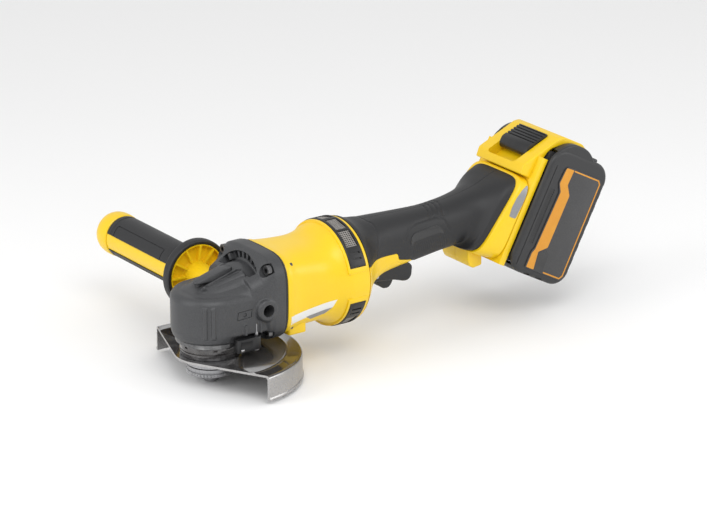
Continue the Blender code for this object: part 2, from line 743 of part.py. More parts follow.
def intake_screen(name, start, stop, parts, cutters):
    screen = across_x(name, arc_band(43.3, 46.6, start, stop), SCREEN_X0, SCREEN_X1, parts,
                      "black")
    boxes = []
    middle = (start + stop) / 2
    for offset in (-47, -26, 26, 47):
        turn = Matrix.Rotation(math.radians(middle + offset), 4, "X")
        base = Matrix.Translation((0.1198, 0, MOTOR_Z * MM))
        for shift in (-5.2, 0.0, 5.2):
            place = Matrix.Translation((0, 0.045, shift * MM))
            boxes.append(((10.4, 8.0, 3.6), base @ turn @ place))
    cut(screen, many_blocks(name + "_slots", boxes, cutters))
    return screen


def motor_parts(parts, cutters):
    centre = (0, 0, MOTOR_Z)
    stator = turned("stator", [
        (ROTOR_R + 1.0, 98), (STATOR_R - 8, 98), (STATOR_R - 7.5, 92), (STATOR_R, 92),
        (STATOR_R, 66), (STATOR_R - 7.5, 66), (STATOR_R - 8, 60), (ROTOR_R + 1.0, 60)],
        parts, "laminate", steps=27, axis="X", centre=centre)
    slots = []
    for k in range(9):
        slots.append(((50.0, 3.2, 5.5), Matrix.Translation((0.079, 0, MOTOR_Z * MM))
                      @ Matrix.Rotation(math.radians(40 * k), 4, "X")
                      @ Matrix.Translation((0, 0, 0.0178))))
    cut(stator, many_blocks("stator_slots", slots, cutters))
    shaft = turned("rotor_shaft", [
        (0, 110.0), (3.2, 110.0), (3.5, 109.6), (3.5, 101.0), (4.6, 101.0), (4.6, 45.0),
        (3.9, 45.0), (3.9, 27.4), (2.5, 27.4), (2.5, 13.0), (0, 13.0)], parts, "steel",
        steps=20, axis="X", centre=centre)
    core = annulus("rotor_core", 4.65, ROTOR_R, 62, 96, parts, "laminate", "X", centre)
    ball_bearing("rotor_bearing_front", 4.0, 11.0, 35.7, 43.0, parts, "X", centre)
    ball_bearing("rotor_bearing_rear", 3.6, 9.5, 102.0, 109.0, parts, "X", centre)
    carrier = turned("rear_bearing_carrier", [
        (9.8, 110.5), (12.5, 110.5), (12.5, 104.5), (29.0, 102.2), (31.2, 99.0),
        (31.2, 94.0), (29.0, 94.0), (29.0, 98.6), (6.0, 100.2), (6.0, 101.7),
        (9.8, 101.7)], parts, "black", steps=18, axis="X", centre=centre)
    windows = []
    for k in range(6):
        windows.append(((14.0, 11.0, 11.0), Matrix.Translation((0.102, 0, MOTOR_Z * MM))
                        @ Matrix.Rotation(math.radians(60 * k), 4, "X")
                        @ Matrix.Translation((0, 0, 0.0205))))
    cut(carrier, many_blocks("carrier_windows", windows, cutters))
    return stator, shaft, core, carrier


def fan(parts, cutters):
    """Radial fan: a back plate with straight blades round the hub."""
    centre = (0, 0, MOTOR_Z)
    wheel = turned("fan", [
        (4.65, 57.4), (9.0, 57.4), (9.0, 48.0), (30.2, 47.2), (30.2, 45.6), (4.65, 45.6)],
        parts, "black", steps=24, axis="X", centre=centre)
    blades = []
    for k in range(9):
        blades.append(((8.6, 1.6, 20.0), Matrix.Translation((0.0517, 0, MOTOR_Z * MM))
                       @ Matrix.Rotation(math.radians(40 * k), 4, "X")
                       @ Matrix.Translation((0, 0, 0.0197))))
    add(wheel, many_blocks("fan_blades", blades, cutters))
    return wheel


# ---------------------------------------------------------------- handle
# x, z of the centre, half width, half height, corner power above and below, tilt in degrees
HANDLE_SECTIONS = (
    (131.4, 70.9, 45.2, 45.2, 2.0, 2.0, 0.0), (134.5, 72.6, 42.4, 42.8, 2.1, 2.1, 0.0),
    (139.0, 75.6, 37.6, 37.6, 2.2, 2.4, 0.0), (144.0, 79.0, 32.6, 32.8, 2.3, 2.7, 0.0),
    (150.0, 82.6, 28.0, 28.6, 2.4, 3.2, 0.0), (158.0, 85.2, 24.6, 25.2, 2.5, 3.8, 0.0),
    (170.0, 86.6, 22.2, 23.6, 2.5, 3.8, 0.0), (190.0, 87.0, 20.4, 22.6, 2.5, 3.2, 0.0),
    (215.0, 87.3, 19.4, 21.9, 2.4, 2.3, 0.0), (232.0, 88.9, 19.8, 21.3, 2.4, 2.3, 2.0),
    (243.0, 90.2, 20.4, 22.0, 2.4, 2.4, 10.0), (253.0, 92.4, 21.6, 23.4, 2.5, 2.5, 20.0),
    (260.0, 94.2, 24.0, 26.4, 2.8, 2.8, 29.0), (265.0, 95.4, 27.4, 31.0, 3.5, 3.5, 34.0),
    (268.8, 96.2, 30.6, 35.2, 4.8, 4.8, 37.0), (275.4, 96.9, 32.4, 37.6, 5.8, 5.8, 38.0))
CORE_END = ((281.0, 94.7, 32.3, 36.4, 5.6, 5.6, 33.0),)
FOOT_SECTIONS = (
    (275.8, 96.6, 34.8, 38.6, 5.6, 5.6, 38.0), (279.4, 95.3, 37.0, 39.2, 5.6, 5.6, 34.0),
    (289.6, 91.3, 38.6, 38.4, 5.6, 5.6, TILT_DEG))


def handle_rings(table, shrink=0.0):
    return [section_yz(x, z, a - shrink, b - shrink, n, math.radians(tilt), n_low)
            for x, z, a, b, n, n_low, tilt in table]


def core_rings(shrink):
    """The plastic core under the rubber, drawn through fewer sections."""
    table = [HANDLE_SECTIONS[k] for k in (0, 2, 4, 6, 8, 10, 12, 13, 15)] + list(CORE_END)
    return handle_rings(table, shrink)


def grip_region(grow):
    """Side outline of the rubber covered part of the handle."""
    g = grow
    return [(120.0, 84.4 - g), (176.4 - g, 80.7 - g), (178.4 - g, 74.4 - g),
            (194.6 - g, 70.4 - g), (200.0 - g, 62.0 - g), (206.0 - g, 30.0),
            (340.0, 30.0), (340.0, 170.0), (120.0, 170.0)]


def paddle_room(cutters, name):
    return block(name, (152.0, -15.0, 40.0), (201.5, 15.0, 78.4), cutters)


def half_space(name, sign, cutters):
    low, high = (-90, 0.15) if sign > 0 else (-0.15, 90)
    return block(name, (110, low, -20), (330, high, 200), cutters)


def handle_shell(side, sign, parts, cutters):
    shell = loft("handle_shell_" + side,
                 core_rings(2.5), parts, "yellow")
    front = loft("front_" + side, handle_rings(HANDLE_SECTIONS[:11]), cutters)
    cut(front, prism("groove_" + side, grip_region(0.3), -60, 60, cutters, plane="XZ"))
    add(shell, front)
    add(shell, loft("foot_" + side, handle_rings(FOOT_SECTIONS), cutters))
    add(shell, block("foot_tab_" + side, (253.0, -19, 49.0), (268.0, 19, 66.0), cutters))
    cut(shell, half_space("half_" + side, sign, cutters))
    inside = [HANDLE_SECTIONS[k] for k in (0, 2, 4, 6, 8, 10, 12, 13)]
    cut(shell, loft("handle_room_" + side,
                    [section_yz(120.0, 70.9, 41.0, 41.0, 2.0)]
                    + handle_rings(inside, 5.2), cutters))
    cut(shell, paddle_room(cutters, "paddle_room_" + side))
    cut(shell, terminal_room("terminal_room_" + side, cutters))
    cut(shell, turned("pin_seat_" + side, [(0, 17.3), (1.6, 17.3), (1.6, -17.3), (0, -17.3)],
                      cutters, steps=12, axis="Y", centre=(PADDLE_X, 0, PADDLE_Z)))
    return shell


def terminal_room(name, cutters):
    room = block(name, (196.0, -16.3, 196.7), (220.0, 16.3, 234.3), cutters)
    room.rotation_euler = (0, TILT, 0)
    return room


def handle_grip(side, sign, parts, cutters):
    grip = loft("handle_grip_" + side, handle_rings(HANDLE_SECTIONS), parts, "rubber")
    keep(grip, prism("grip_region_" + side, grip_region(0.0), -60, 60, cutters, plane="XZ"))
    cut(grip, half_space("grip_half_" + side, sign, cutters))
    cut(grip, loft("grip_core_" + side,
                   [section_yz(126.0, 70.9, 43.0, 43.0, 2.0)] + core_rings(2.25), cutters))
    cut(grip, paddle_room(cutters, "grip_paddle_room_" + side))
    ridges = []
    for k in range(5):
        ridges.append(((1.3, 44.0, 3.0), Matrix.Translation(((203.0 + 4.6 * k) * MM, 0,
                                                             0.1125))))
    cut(grip, many_blocks("grip_ridges_" + side, ridges, cutters))
    return grip


def paddle_group(parts, cutters):
    """Paddle hinged at its front on a cross pin, with the lock-off lever inside it."""
    px, pz = PADDLE_X, PADDLE_Z
    outline = [(154.4, 58.4), (155.4, 62.6), (158.4, 65.6), (167.0, 68.0), (180.0, 68.6),
               (193.5, 66.9), (197.4, 63.2), (196.4, 54.0), (193.0, 50.8), (188.4, 50.8),
               (178.4, 54.0), (159.6, 56.0)]
    paddle = prism("paddle", [(x - px, z - pz) for x, z in outline], -14.4, 14.4, parts,
                   "black", plane="XZ")
    paddle.location = (px * MM, 0, pz * MM)
    round_edges(paddle, 1.4, 2)
    cut(paddle, block("lock_off_room", (163.4, -8.4, 44.0), (187.0, 8.4, 64.0), cutters),
        turned("paddle_bore", [(0, 30), (1.65, 30), (1.65, -30), (0, -30)], cutters, steps=20,
               axis="Y", centre=(px, 0, pz)),
        turned("lock_off_bore", [(0, 11.6), (1.3, 11.6), (1.3, -11.6), (0, -11.6)], cutters,
               steps=16, axis="Y", centre=(171.5, 0, 59.6)))
    pin = turned("paddle_pin", [(0, 17.0), (1.5, 17.0), (1.5, -17.0), (0, -17.0)], parts,
                 "steel", steps=20, axis="Y", centre=(px, 0, pz))
    lx, lz = 171.5, 59.6
    tab = [(164.6, 54.4), (165.8, 50.0), (171.2, 45.8), (176.2, 45.5), (179.0, 47.6),
           (182.2, 53.4), (176.4, 59.4), (174.4, 62.2), (171.5, 63.2), (168.6, 62.2),
           (167.4, 59.0)]
    lever = prism("lock_off_lever", [(x - lx, z - lz) for x, z in tab], -8.0, 8.0, parts,
                  "black", plane="XZ")
    lever.location = (lx * MM, 0, lz * MM)
    round_edges(lever, 0.8, 1)
    add(lever, turned("lock_off_stub", [(0, 11.2), (1.1, 11.2), (1.1, -11.2), (0, -11.2)],
                      cutters, steps=16, axis="Y", centre=(lx, 0, lz)))
    spring = coil("paddle_spring", 3.2, 0.4, 10.4, 4, parts, (186.0, 0, 68.8))
    return paddle, pin, lever, spring


def handle_inside(parts, cutters):
    switch = block("switch_body", (170.0, -11.0, 79.6), (198.0, 11.0, 98.0), parts, "black")
    round_edges(switch, 1.0, 1)
    module = block("control_module", (203.0, -10.0, 79.0), (234.0, 10.0, 96.0), parts, "board")
    round_edges(module, 1.0, 1)
    terminal = block("terminal_block", (204.0, -16.0, 197.0), (212.6, 16.0, 234.0), parts,
                     "black")
    terminal.rotation_euler = (0, TILT, 0)
    round_edges(terminal, 0.8, 1)
    return switch, module, terminal


# ---------------------------------------------------------------- battery
def tilt_prism(name, outline, low, high, coll, look=None):
    """Side outline in the tilted frame (depth, length) given width across Y."""
    return prism(name, outline, low, high, coll, look, plane="XZ", tilt=TILT)


def battery_upper(parts, cutters):
    outline = [(202.6, 255.5), (201.6, 264.5), (227.6, 297.0), (232.6, 299.8),
               (256.0, 300.0), (262.0, 297.0), (262.0, 290.6), (235.3, 290.6),
               (229.4, 289.4), (224.4, 286.1), (221.1, 281.1), (219.9, 275.2),
               (219.9, 177.0), (213.6, 177.0), (213.6, 255.5)]
    body = tilt_prism("battery_upper_housing", outline, -32.4, 32.4, parts, "yellow")
    plate = block("battery_plate", (213.6, -38.0, 177.0), (219.9, 38.0, 276.0), cutters)
    plate.rotation_euler = (0, TILT, 0)
    add(body, plate)
    seat = block("button_seat", (216.0, -24.0, 262.0), (241.0, 24.0, 294.0), cutters)
    seat.rotation_euler = (0, TILT, 0)
    add(body, seat)
    recess = block("button_recess", (-21.5, -19.4, -9.6), (19.5, 19.4, 12.0), cutters)
    recess.rotation_euler = (0, -BUTTON_SLOPE, 0)
    recess.location = Vector(BUTTON_AT) * MM
    cut(body, recess)
    round_edges(body, 1.6, 1, 40)
    return body


BUTTON_SLOPE = math.radians(21.2)
BUTTON_AT = tilted(214.4, 0.0, 280.6)


def battery_button(parts, cutters):
    """Ribbed release button standing in its recess, pressed in square to the slope."""
    profile = [(-8.0, -5.2), (-8.0, -2.0), (-3.0, 3.2), (2.0, 3.4), (2.6, 2.4), (4.6, 2.4),
               (5.2, 3.4), (7.2, 3.4), (7.8, 2.4), (9.8, 2.4), (10.4, 3.4), (12.4, 3.4),
               (13.0, 2.4), (15.0, 2.4), (15.6, 3.0), (18.8, 2.2), (18.8, -5.2)]
    button = prism("battery_button", profile, -18.8, 18.8, parts, "black", plane="XZ")
    button.rotation_euler = (0, -BUTTON_SLOPE, 0)
    button.location = Vector(BUTTON_AT) * MM
    along = 5.0
    down = 9.4
    centre = (BUTTON_AT[0] + along * math.cos(BUTTON_SLOPE) + down * math.sin(BUTTON_SLOPE), 0,
              BUTTON_AT[2] + along * math.sin(BUTTON_SLOPE) - down * math.cos(BUTTON_SLOPE))
    spring = coil("battery_button_spring", 4.0, 0.4, 3.9, 3, parts, centre,
                  tilt=-BUTTON_SLOPE)
    return button, spring


def battery_lower(parts, cutters):
    outline = rounded_outline(220.3, 176.8, 289.0, 290.2, 15.0, 5)
    body = tilt_prism("battery_lower_housing", outline, -BATT_W, BATT_W, parts, "black")
    round_edges(body, 3.4, 3, 50)
    cheeks = []
    for sign in (-1, 1):
        cheeks.append(tilt_prism("cheek_%d" % sign, rounded_outline(
            221.4, 240.0, 273.4, 297.6, 25.8, 5), min(sign * 32.9, sign * 42.4),
            max(sign * 32.9, sign * 42.4), cutters))
    add(body, *cheeks)
    room = tilt_prism("cell_room", rounded_outline(210.0, 180.4, 285.6, 286.6, 3.0, 3),
                      -39.6, 39.6, cutters)
    seat = block("seat_room", (205.0, -24.4, 261.6), (241.4, 24.4, 300.0), cutters)
    seat.rotation_euler = (0, TILT, 0)
    add(room, seat)
    cut(body, room)
    return body


def battery_cells(parts, cutters):
    """The cells in their carrier, as one shrouded pack."""
    frames = tilt_prism("battery_cell_pack", rounded_outline(223.5, 183.0, 283.6, 284.6, 3.0, 3),
                        -33.0, 33.0, parts, "laminate")
    grooves = []
    for k in range(4):
        level = 183.0 + 20.32 * (k + 1)
        grooves.append(block("cell_groove_%d" % k, (220.0, -27.0, level - 2.2),
                             (226.4, 27.0, level + 2.2), cutters))
    for groove in grooves:
        groove.rotation_euler = (0, TILT, 0)
    cut(frames, *grooves)
    seat = block("pack_seat_room", (205.0, -25.0, 261.0), (242.0, 25.0, 300.0), cutters)
    seat.rotation_euler = (0, TILT, 0)
    cut(frames, seat)
    return frames


def battery_label(parts):
    outline = [(238.6, 183.0), (281.6, 184.4), (280.6, 276.2), (238.4, 275.8)]
    label = tilt_prism("battery_label", outline, -BATT_W - 1.1, -BATT_W - 0.3, parts, "laminate")
    round_edges(label, 0.25, 1)
    return label


# ---------------------------------------------------------------- side handle
def side_handle(parts, cutters):
    centre = (HANDLE_X, 0, HANDLE_Z)
    turned("side_handle_stud", [(0, 87.4), (5.0, 87.4), (5.0, 29.6), (4.2, 28.8), (0, 28.8)],
           parts, "steel", steps=32, axis="Y", centre=centre)
    core = turned("side_handle_core", [
        (0, 186.0), (15.4, 186.0), (15.4, 84.0), (14.0, 77.0), (16.0, 73.6), (26.2, 73.6),
        (26.2, 71.0), (12.6, 71.0), (11.6, 69.0), (9.6, 42.2), (8.8, 41.6), (5.2, 41.6),
        (5.2, 90.4), (0, 90.4)], parts, "yellow", steps=28, axis="Y", centre=centre)
    ribs = []
    for k in range(DISC_RIBS):
        turn = Matrix.Rotation(2 * math.pi * k / DISC_RIBS, 4, "Y")
        ribs.append(((1.5, 4.4, 15.0), Matrix.Translation(Vector(centre) * MM) @ turn
                     @ Matrix.Translation((0, 0.0690, 0.0185))))
    add(core, many_blocks("disc_ribs", ribs, cutters))
    band = block("strip_bar", (HANDLE_X - 30, 88.0, HANDLE_Z - 8.0),
                 (HANDLE_X + 30, 185.8, HANDLE_Z + 6.0), cutters)
    keep(band, turned("strip_round", [(0, 190), (17.6, 190), (17.6, 80), (0, 80)], cutters,
                      axis="Y", centre=centre))
    add(core, band)
    turned("side_handle_rim", [
        (26.6, 75.2), (29.4, 75.2), (DISC_R, 74.0), (DISC_R, 67.4), (29.6, 66.2),
        (27.6, 66.2), (26.6, 67.0)], parts, "rubber", axis="Y", centre=centre)
    grip = turned("side_handle_grip", [
        (15.8, 185.6), (18.3, 185.6), (GRIP_R, 184.6), (GRIP_R, 92.0), (17.8, 86.0),
        (16.4, 80.0), (16.2, 76.0), (15.8, 76.0)], parts, "rubber", axis="Y", centre=centre)
    cut(grip, block("strip_window", (HANDLE_X - 40, 87.7, HANDLE_Z - 8.3),
                    (HANDLE_X + 40, 190.0, HANDLE_Z + 6.3), cutters))
    turned("side_handle_end_cap", [
        (0, END_Y), (8.0, END_Y - 0.5), (14.0, END_Y - 2.6), (18.0, END_Y - 6.8),
        (19.3, END_Y - 12.0), (19.0, 187.6), (18.0, 186.3), (0, 186.3)], parts, "yellow",
        axis="Y", centre=centre)
    return core


# ---------------------------------------------------------------- assembly
def build():
    clear_scene()
    parts = make_collection("angle_grinder")
    cutters = make_collection("cutters")
    gear_case(parts, cutters)
    gear_case_gasket(parts, cutters)
    bearing_cap(parts, cutters)
    for index, (x, y) in enumerate(cap_screw_places()):
        screw("cap_screw_%d" % (index + 1), parts, cutters, 2.5, 1.8, 1.5, 7.0, "Z",
              (x, y, 38.5), flip=True)
    for index, (y, z) in enumerate(flange_screw_places()):
        screw("flange_screw_%d" % (index + 1), parts, cutters, 4.3, 3.6, 1.75, 22.0, "X",
              (37.7, y, z), flip=True)
    spindle(parts)
    ring_gear(parts)
    pinion(parts, cutters)
    ball_bearing("spindle_bearing_lower", 7.6, 16.05, 36.8, 46.2, parts)
    annulus("spindle_bearing_upper", 4.45, 8.0, 73.4, 81.4, parts, "steel")
    inner_flange(parts)
    clamp_nut(parts, cutters)
    guard(parts, cutters)
    guard_collar(parts, cutters)
    guard_lever(parts, cutters)
    spindle_lock(parts, cutters)
    motor_housing(parts, cutters)
    intake_screen("intake_screen_upper", 20.0, 160.0, parts, cutters)
    intake_screen("intake_screen_lower", 200.0, 340.0, parts, cutters)
    motor_parts(parts, cutters)
    fan(parts, cutters)
    for side, sign in (("left", -1), ("right", 1)):
        handle_shell(side, sign, parts, cutters)
        handle_grip(side, sign, parts, cutters)
    paddle_group(parts, cutters)
    handle_inside(parts, cutters)
    battery_upper(parts, cutters)
    battery_button(parts, cutters)
    battery_lower(parts, cutters)
    battery_cells(parts, cutters)
    battery_label(parts)
    side_handle(parts, cutters)


build()
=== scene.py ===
import math

import bmesh
import bpy
from mathutils import Matrix, Vector


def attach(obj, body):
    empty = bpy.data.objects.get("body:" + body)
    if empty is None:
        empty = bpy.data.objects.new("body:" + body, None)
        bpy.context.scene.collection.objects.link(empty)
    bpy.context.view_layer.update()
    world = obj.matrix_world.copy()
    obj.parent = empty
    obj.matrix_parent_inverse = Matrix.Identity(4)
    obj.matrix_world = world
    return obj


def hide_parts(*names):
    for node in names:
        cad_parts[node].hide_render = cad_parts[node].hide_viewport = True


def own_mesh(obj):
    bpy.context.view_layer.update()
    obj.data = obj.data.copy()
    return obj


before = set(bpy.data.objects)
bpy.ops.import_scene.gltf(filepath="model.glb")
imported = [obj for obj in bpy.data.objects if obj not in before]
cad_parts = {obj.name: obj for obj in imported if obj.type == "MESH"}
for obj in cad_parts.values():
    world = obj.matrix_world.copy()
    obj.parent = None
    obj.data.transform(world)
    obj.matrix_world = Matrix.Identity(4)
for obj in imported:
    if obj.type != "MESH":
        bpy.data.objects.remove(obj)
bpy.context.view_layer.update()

MM = 0.001
MOTOR_Z = 70.8
HANDLE_X, HANDLE_Z = 31.3, 66.0
LOCK_X = -11.6
LEVER_PIVOT = (23.0, -34.0, 0)
PADDLE_PIN = (158.5, 0, 61.6)
LOCK_OFF_PIN = (171.5, 0, 59.6)
MOTOR_AT = (0, 0, MOTOR_Z)
FLANGE_SCREWS = [(y, MOTOR_Z + z) for y in (-32.5, 32.5) for z in (-27.5, 27.5)]
TILT = math.radians(28.0)
SEG = 96


# ---------------------------------------------------------------- shape helpers
def shade(mesh, degrees=35.0):
    mesh.shade_smooth()
    mesh.set_sharp_from_angle(angle=math.radians(degrees))


def new_object(name, bm, degrees=35.0):
    bmesh.ops.recalc_face_normals(bm, faces=bm.faces)
    mesh = bpy.data.meshes.new(name)
    bm.to_mesh(mesh)
    bm.free()
    shade(mesh, degrees)
    obj = bpy.data.objects.new(name, mesh)
    bpy.context.scene.collection.objects.link(obj)
    return obj


def section_yz(x, zc, a, b, n, tilt=0.0, n_low=None, count=SEG):
    points = []
    for k in range(count):
        t = 2 * math.pi * k / count
        c, s = math.cos(t), math.sin(t)
        power = 2 / (n_low if n_low and s < 0 else n)
        y = a * math.copysign(abs(c) ** power, c)
        h = b * math.copysign(abs(s) ** power, s)
        points.append((x + h * math.sin(tilt), y, zc + h * math.cos(tilt)))
    return points


def even_ring(ring, count):
    """The same closed outline with its points spread evenly along it."""
    pts = [Vector(p) for p in ring] + [Vector(ring[0])]
    run = [0.0]
    for a, b in zip(pts, pts[1:]):
        run.append(run[-1] + (b - a).length)
    out, j = [], 0
    for k in range(count):
        want = run[-1] * k / count
        while run[j + 1] < want:
            j += 1
        f = (want - run[j]) / max(run[j + 1] - run[j], 1e-9)
        out.append(tuple(pts[j].lerp(pts[j + 1], f)))
    return out


def dense(table, step):
    """Rows between the given ones, on a Catmull-Rom curve through them."""
    rows = []
    for k in range(len(table) - 1):
        p0 = table[max(k - 1, 0)]
        p1, p2 = table[k], table[k + 1]
        p3 = table[min(k + 2, len(table) - 1)]
        span = math.dist(p1[:2], p2[:2])
        n = max(1, int(math.ceil(span / step)))
        for i in range(n):
            t = i / n
            rows.append(tuple(0.5 * (2 * b + (c - a) * t + (2 * a - 5 * b + 4 * c - d) * t * t
                       + (3 * b - a - 3 * c + d) * t ** 3) for a, b, c, d in zip(p0, p1, p2, p3)))
    rows.append(tuple(table[-1]))
    return rows


def skin(name, rings, degrees=35.0):
    bm = bmesh.new()
    rows = [[bm.verts.new(Vector(p) * MM) for p in ring] for ring in rings]
    count = len(rows[0])
    for lower, upper in zip(rows, rows[1:]):
        for k in range(count):
            j = (k + 1) % count
            bm.faces.new((lower[k], lower[j], upper[j], upper[k]))
    bm.faces.new(rows[0])
    bm.faces.new(rows[-1])
    return new_object(name, bm, degrees)


AXES = {"Z": Matrix.Identity(4),
        "X": Matrix(((0, 0, 1, 0), (1, 0, 0, 0), (0, 1, 0, 0), (0, 0, 0, 1))),
        "Y": Matrix(((0, 1, 0, 0), (0, 0, 1, 0), (1, 0, 0, 0), (0, 0, 0, 1)))}


def shift(centre):
    """Move by a vector given in millimetres."""
    return Matrix.Translation(Vector(centre) * MM)


def turned(name, profile, steps=96, axis="Z", centre=(0, 0, 0)):
    """Solid of revolution; profile is (radius, height) and closes on itself."""
    bm = bmesh.new()
    rows = []
    for r, h in profile:
        if r < 1e-6:
            rows.append([bm.verts.new((0, 0, h * MM))])
        else:
            rows.append([bm.verts.new((r * math.cos(2 * math.pi * k / steps) * MM,
                                       r * math.sin(2 * math.pi * k / steps) * MM, h * MM))
                         for k in range(steps)])
    for a, b in zip(rows, rows[1:] + rows[:1]):
        if len(a) == 1 and len(b) == 1:
            continue
        for k in range(steps):
            j = (k + 1) % steps
            if len(a) == 1:
                bm.faces.new((a[0], b[j], b[k]))
            elif len(b) == 1:
                bm.faces.new((a[k], a[j], b[0]))
            else:
                bm.faces.new((a[k], a[j], b[j], b[k]))
    bm.transform(shift(centre) @ AXES[axis])
    return new_object(name, bm)


def rod(name, r, low, high, steps=96, axis="Z", centre=(0, 0, 0)):
    return turned(name, [(0, high), (r, high), (r, low), (0, low)], steps, axis, centre)


def prism(name, outline, low, high, plane="XY", move=None):
    """2D outline with thickness. XY: up Z. XZ: across Y. YZ: along X."""
    bm = bmesh.new()
    lower = [bm.verts.new((u * MM, v * MM, low * MM)) for u, v in outline]
    upper = [bm.verts.new((u * MM, v * MM, high * MM)) for u, v in outline]
    count = len(outline)
    for k in range(count):
        j = (k + 1) % count
        bm.faces.new((lower[k], lower[j], upper[j], upper[k]))
    bm.faces.new(lower)
    bm.faces.new(upper)
    turn = {"XY": Matrix.Identity(4),
            "XZ": Matrix(((1, 0, 0, 0), (0, 0, 1, 0), (0, 1, 0, 0), (0, 0, 0, 1))),
            "YZ": AXES["X"]}[plane]
    bm.transform((move or Matrix.Identity(4)) @ turn)
    return new_object(name, bm)


def tilted(obj):
    """Turn an object made in the tilted frame of the foot and the pack into place."""
    obj.data.transform(Matrix.Rotation(TILT, 4, "Y"))
    return obj


def boxes(name, rows):
    """Bars in one mesh; each row is (size, matrix) with the matrix in millimetres."""
    bm = bmesh.new()
    for size, matrix in rows:
        made = bmesh.ops.create_cube(bm, size=1.0)["verts"]
        for v in made:
            v.co = Vector((v.co.x * size[0], v.co.y * size[1], v.co.z * size[2]))
        bmesh.ops.transform(bm, matrix=Matrix.Scale(MM, 4) @ matrix, verts=made)
    return new_object(name, bm)


def at(x, y, z):
    return Matrix.Translation((x, y, z))


def rot(degrees, axis):
    return Matrix.Rotation(math.radians(degrees), 4, axis)


def rounded(x0, y0, x1, y1, r, steps=6):
    points = []
    for cx, cy, start in ((x1 - r, y1 - r, 0), (x0 + r, y1 - r, 90),
                          (x0 + r, y0 + r, 180), (x1 - r, y0 + r, 270)):
        for k in range(steps + 1):
            t = math.radians(start + 90 * k / steps)
            points.append((cx + r * math.cos(t), cy + r * math.sin(t)))
    return points


def round_corners(outline, r, steps=4):
    """Polygon with each corner replaced by a small arc."""
    out = []
    count = len(outline)
    for k in range(count):
        p = Vector(outline[k]).to_2d()
        a = Vector(outline[k - 1]).to_2d() - p
        b = Vector(outline[(k + 1) % count]).to_2d() - p
        cut = min(r, a.length * 0.45, b.length * 0.45)
        a.normalize()
        b.normalize()
        start, end = p + a * cut, p + b * cut
        for i in range(steps + 1):
            t = i / steps
            q = start * (1 - t) ** 2 + p * 2 * t * (1 - t) + end * t * t
            out.append((q.x, q.y))
    return out


def bake(obj, degrees=35.0):
    graph = bpy.context.evaluated_depsgraph_get()
    mesh = bpy.data.meshes.new_from_object(obj.evaluated_get(graph))
    obj.modifiers.clear()
    obj.data = mesh
    shade(mesh, degrees)
    return obj


def combine(obj, operation, *tools, degrees=35.0):
    for tool in tools:
        mod = obj.modifiers.new("join", "BOOLEAN")
        mod.operation = operation
        mod.solver = "EXACT"
        mod.object = tool
    bake(obj, degrees)
    for tool in tools:
        bpy.data.objects.remove(tool, do_unlink=True)
    return obj


def cut(obj, *tools, **extra):
    return combine(obj, "DIFFERENCE", *tools, **extra)


def add(obj, *tools, **extra):
    return combine(obj, "UNION", *tools, **extra)


def bevel(obj, width, segments=2, angle=35.0):
    mod = obj.modifiers.new("edges", "BEVEL")
    mod.width = width * MM
    mod.segments = segments
    mod.limit_method = "ANGLE"
    mod.angle_limit = math.radians(angle)
    mod.use_clamp_overlap = True
    return bake(obj)


def soften(obj, voxel, passes=6, factor=0.5):
    """Casting-like fillets: rebuild the skin on a fine grid and relax it."""
    mod = obj.modifiers.new("grid", "REMESH")
    mod.mode = "VOXEL"
    mod.voxel_size = voxel * MM
    mod.use_smooth_shade = True
    relax = obj.modifiers.new("relax", "SMOOTH")
    relax.factor = factor
    relax.iterations = passes
    return bake(obj, 60.0)


def turn_about(centre, degrees, axis):
    c = Vector(centre)
    return Matrix.Translation(c) @ rot(degrees, axis) @ Matrix.Translation(-c)


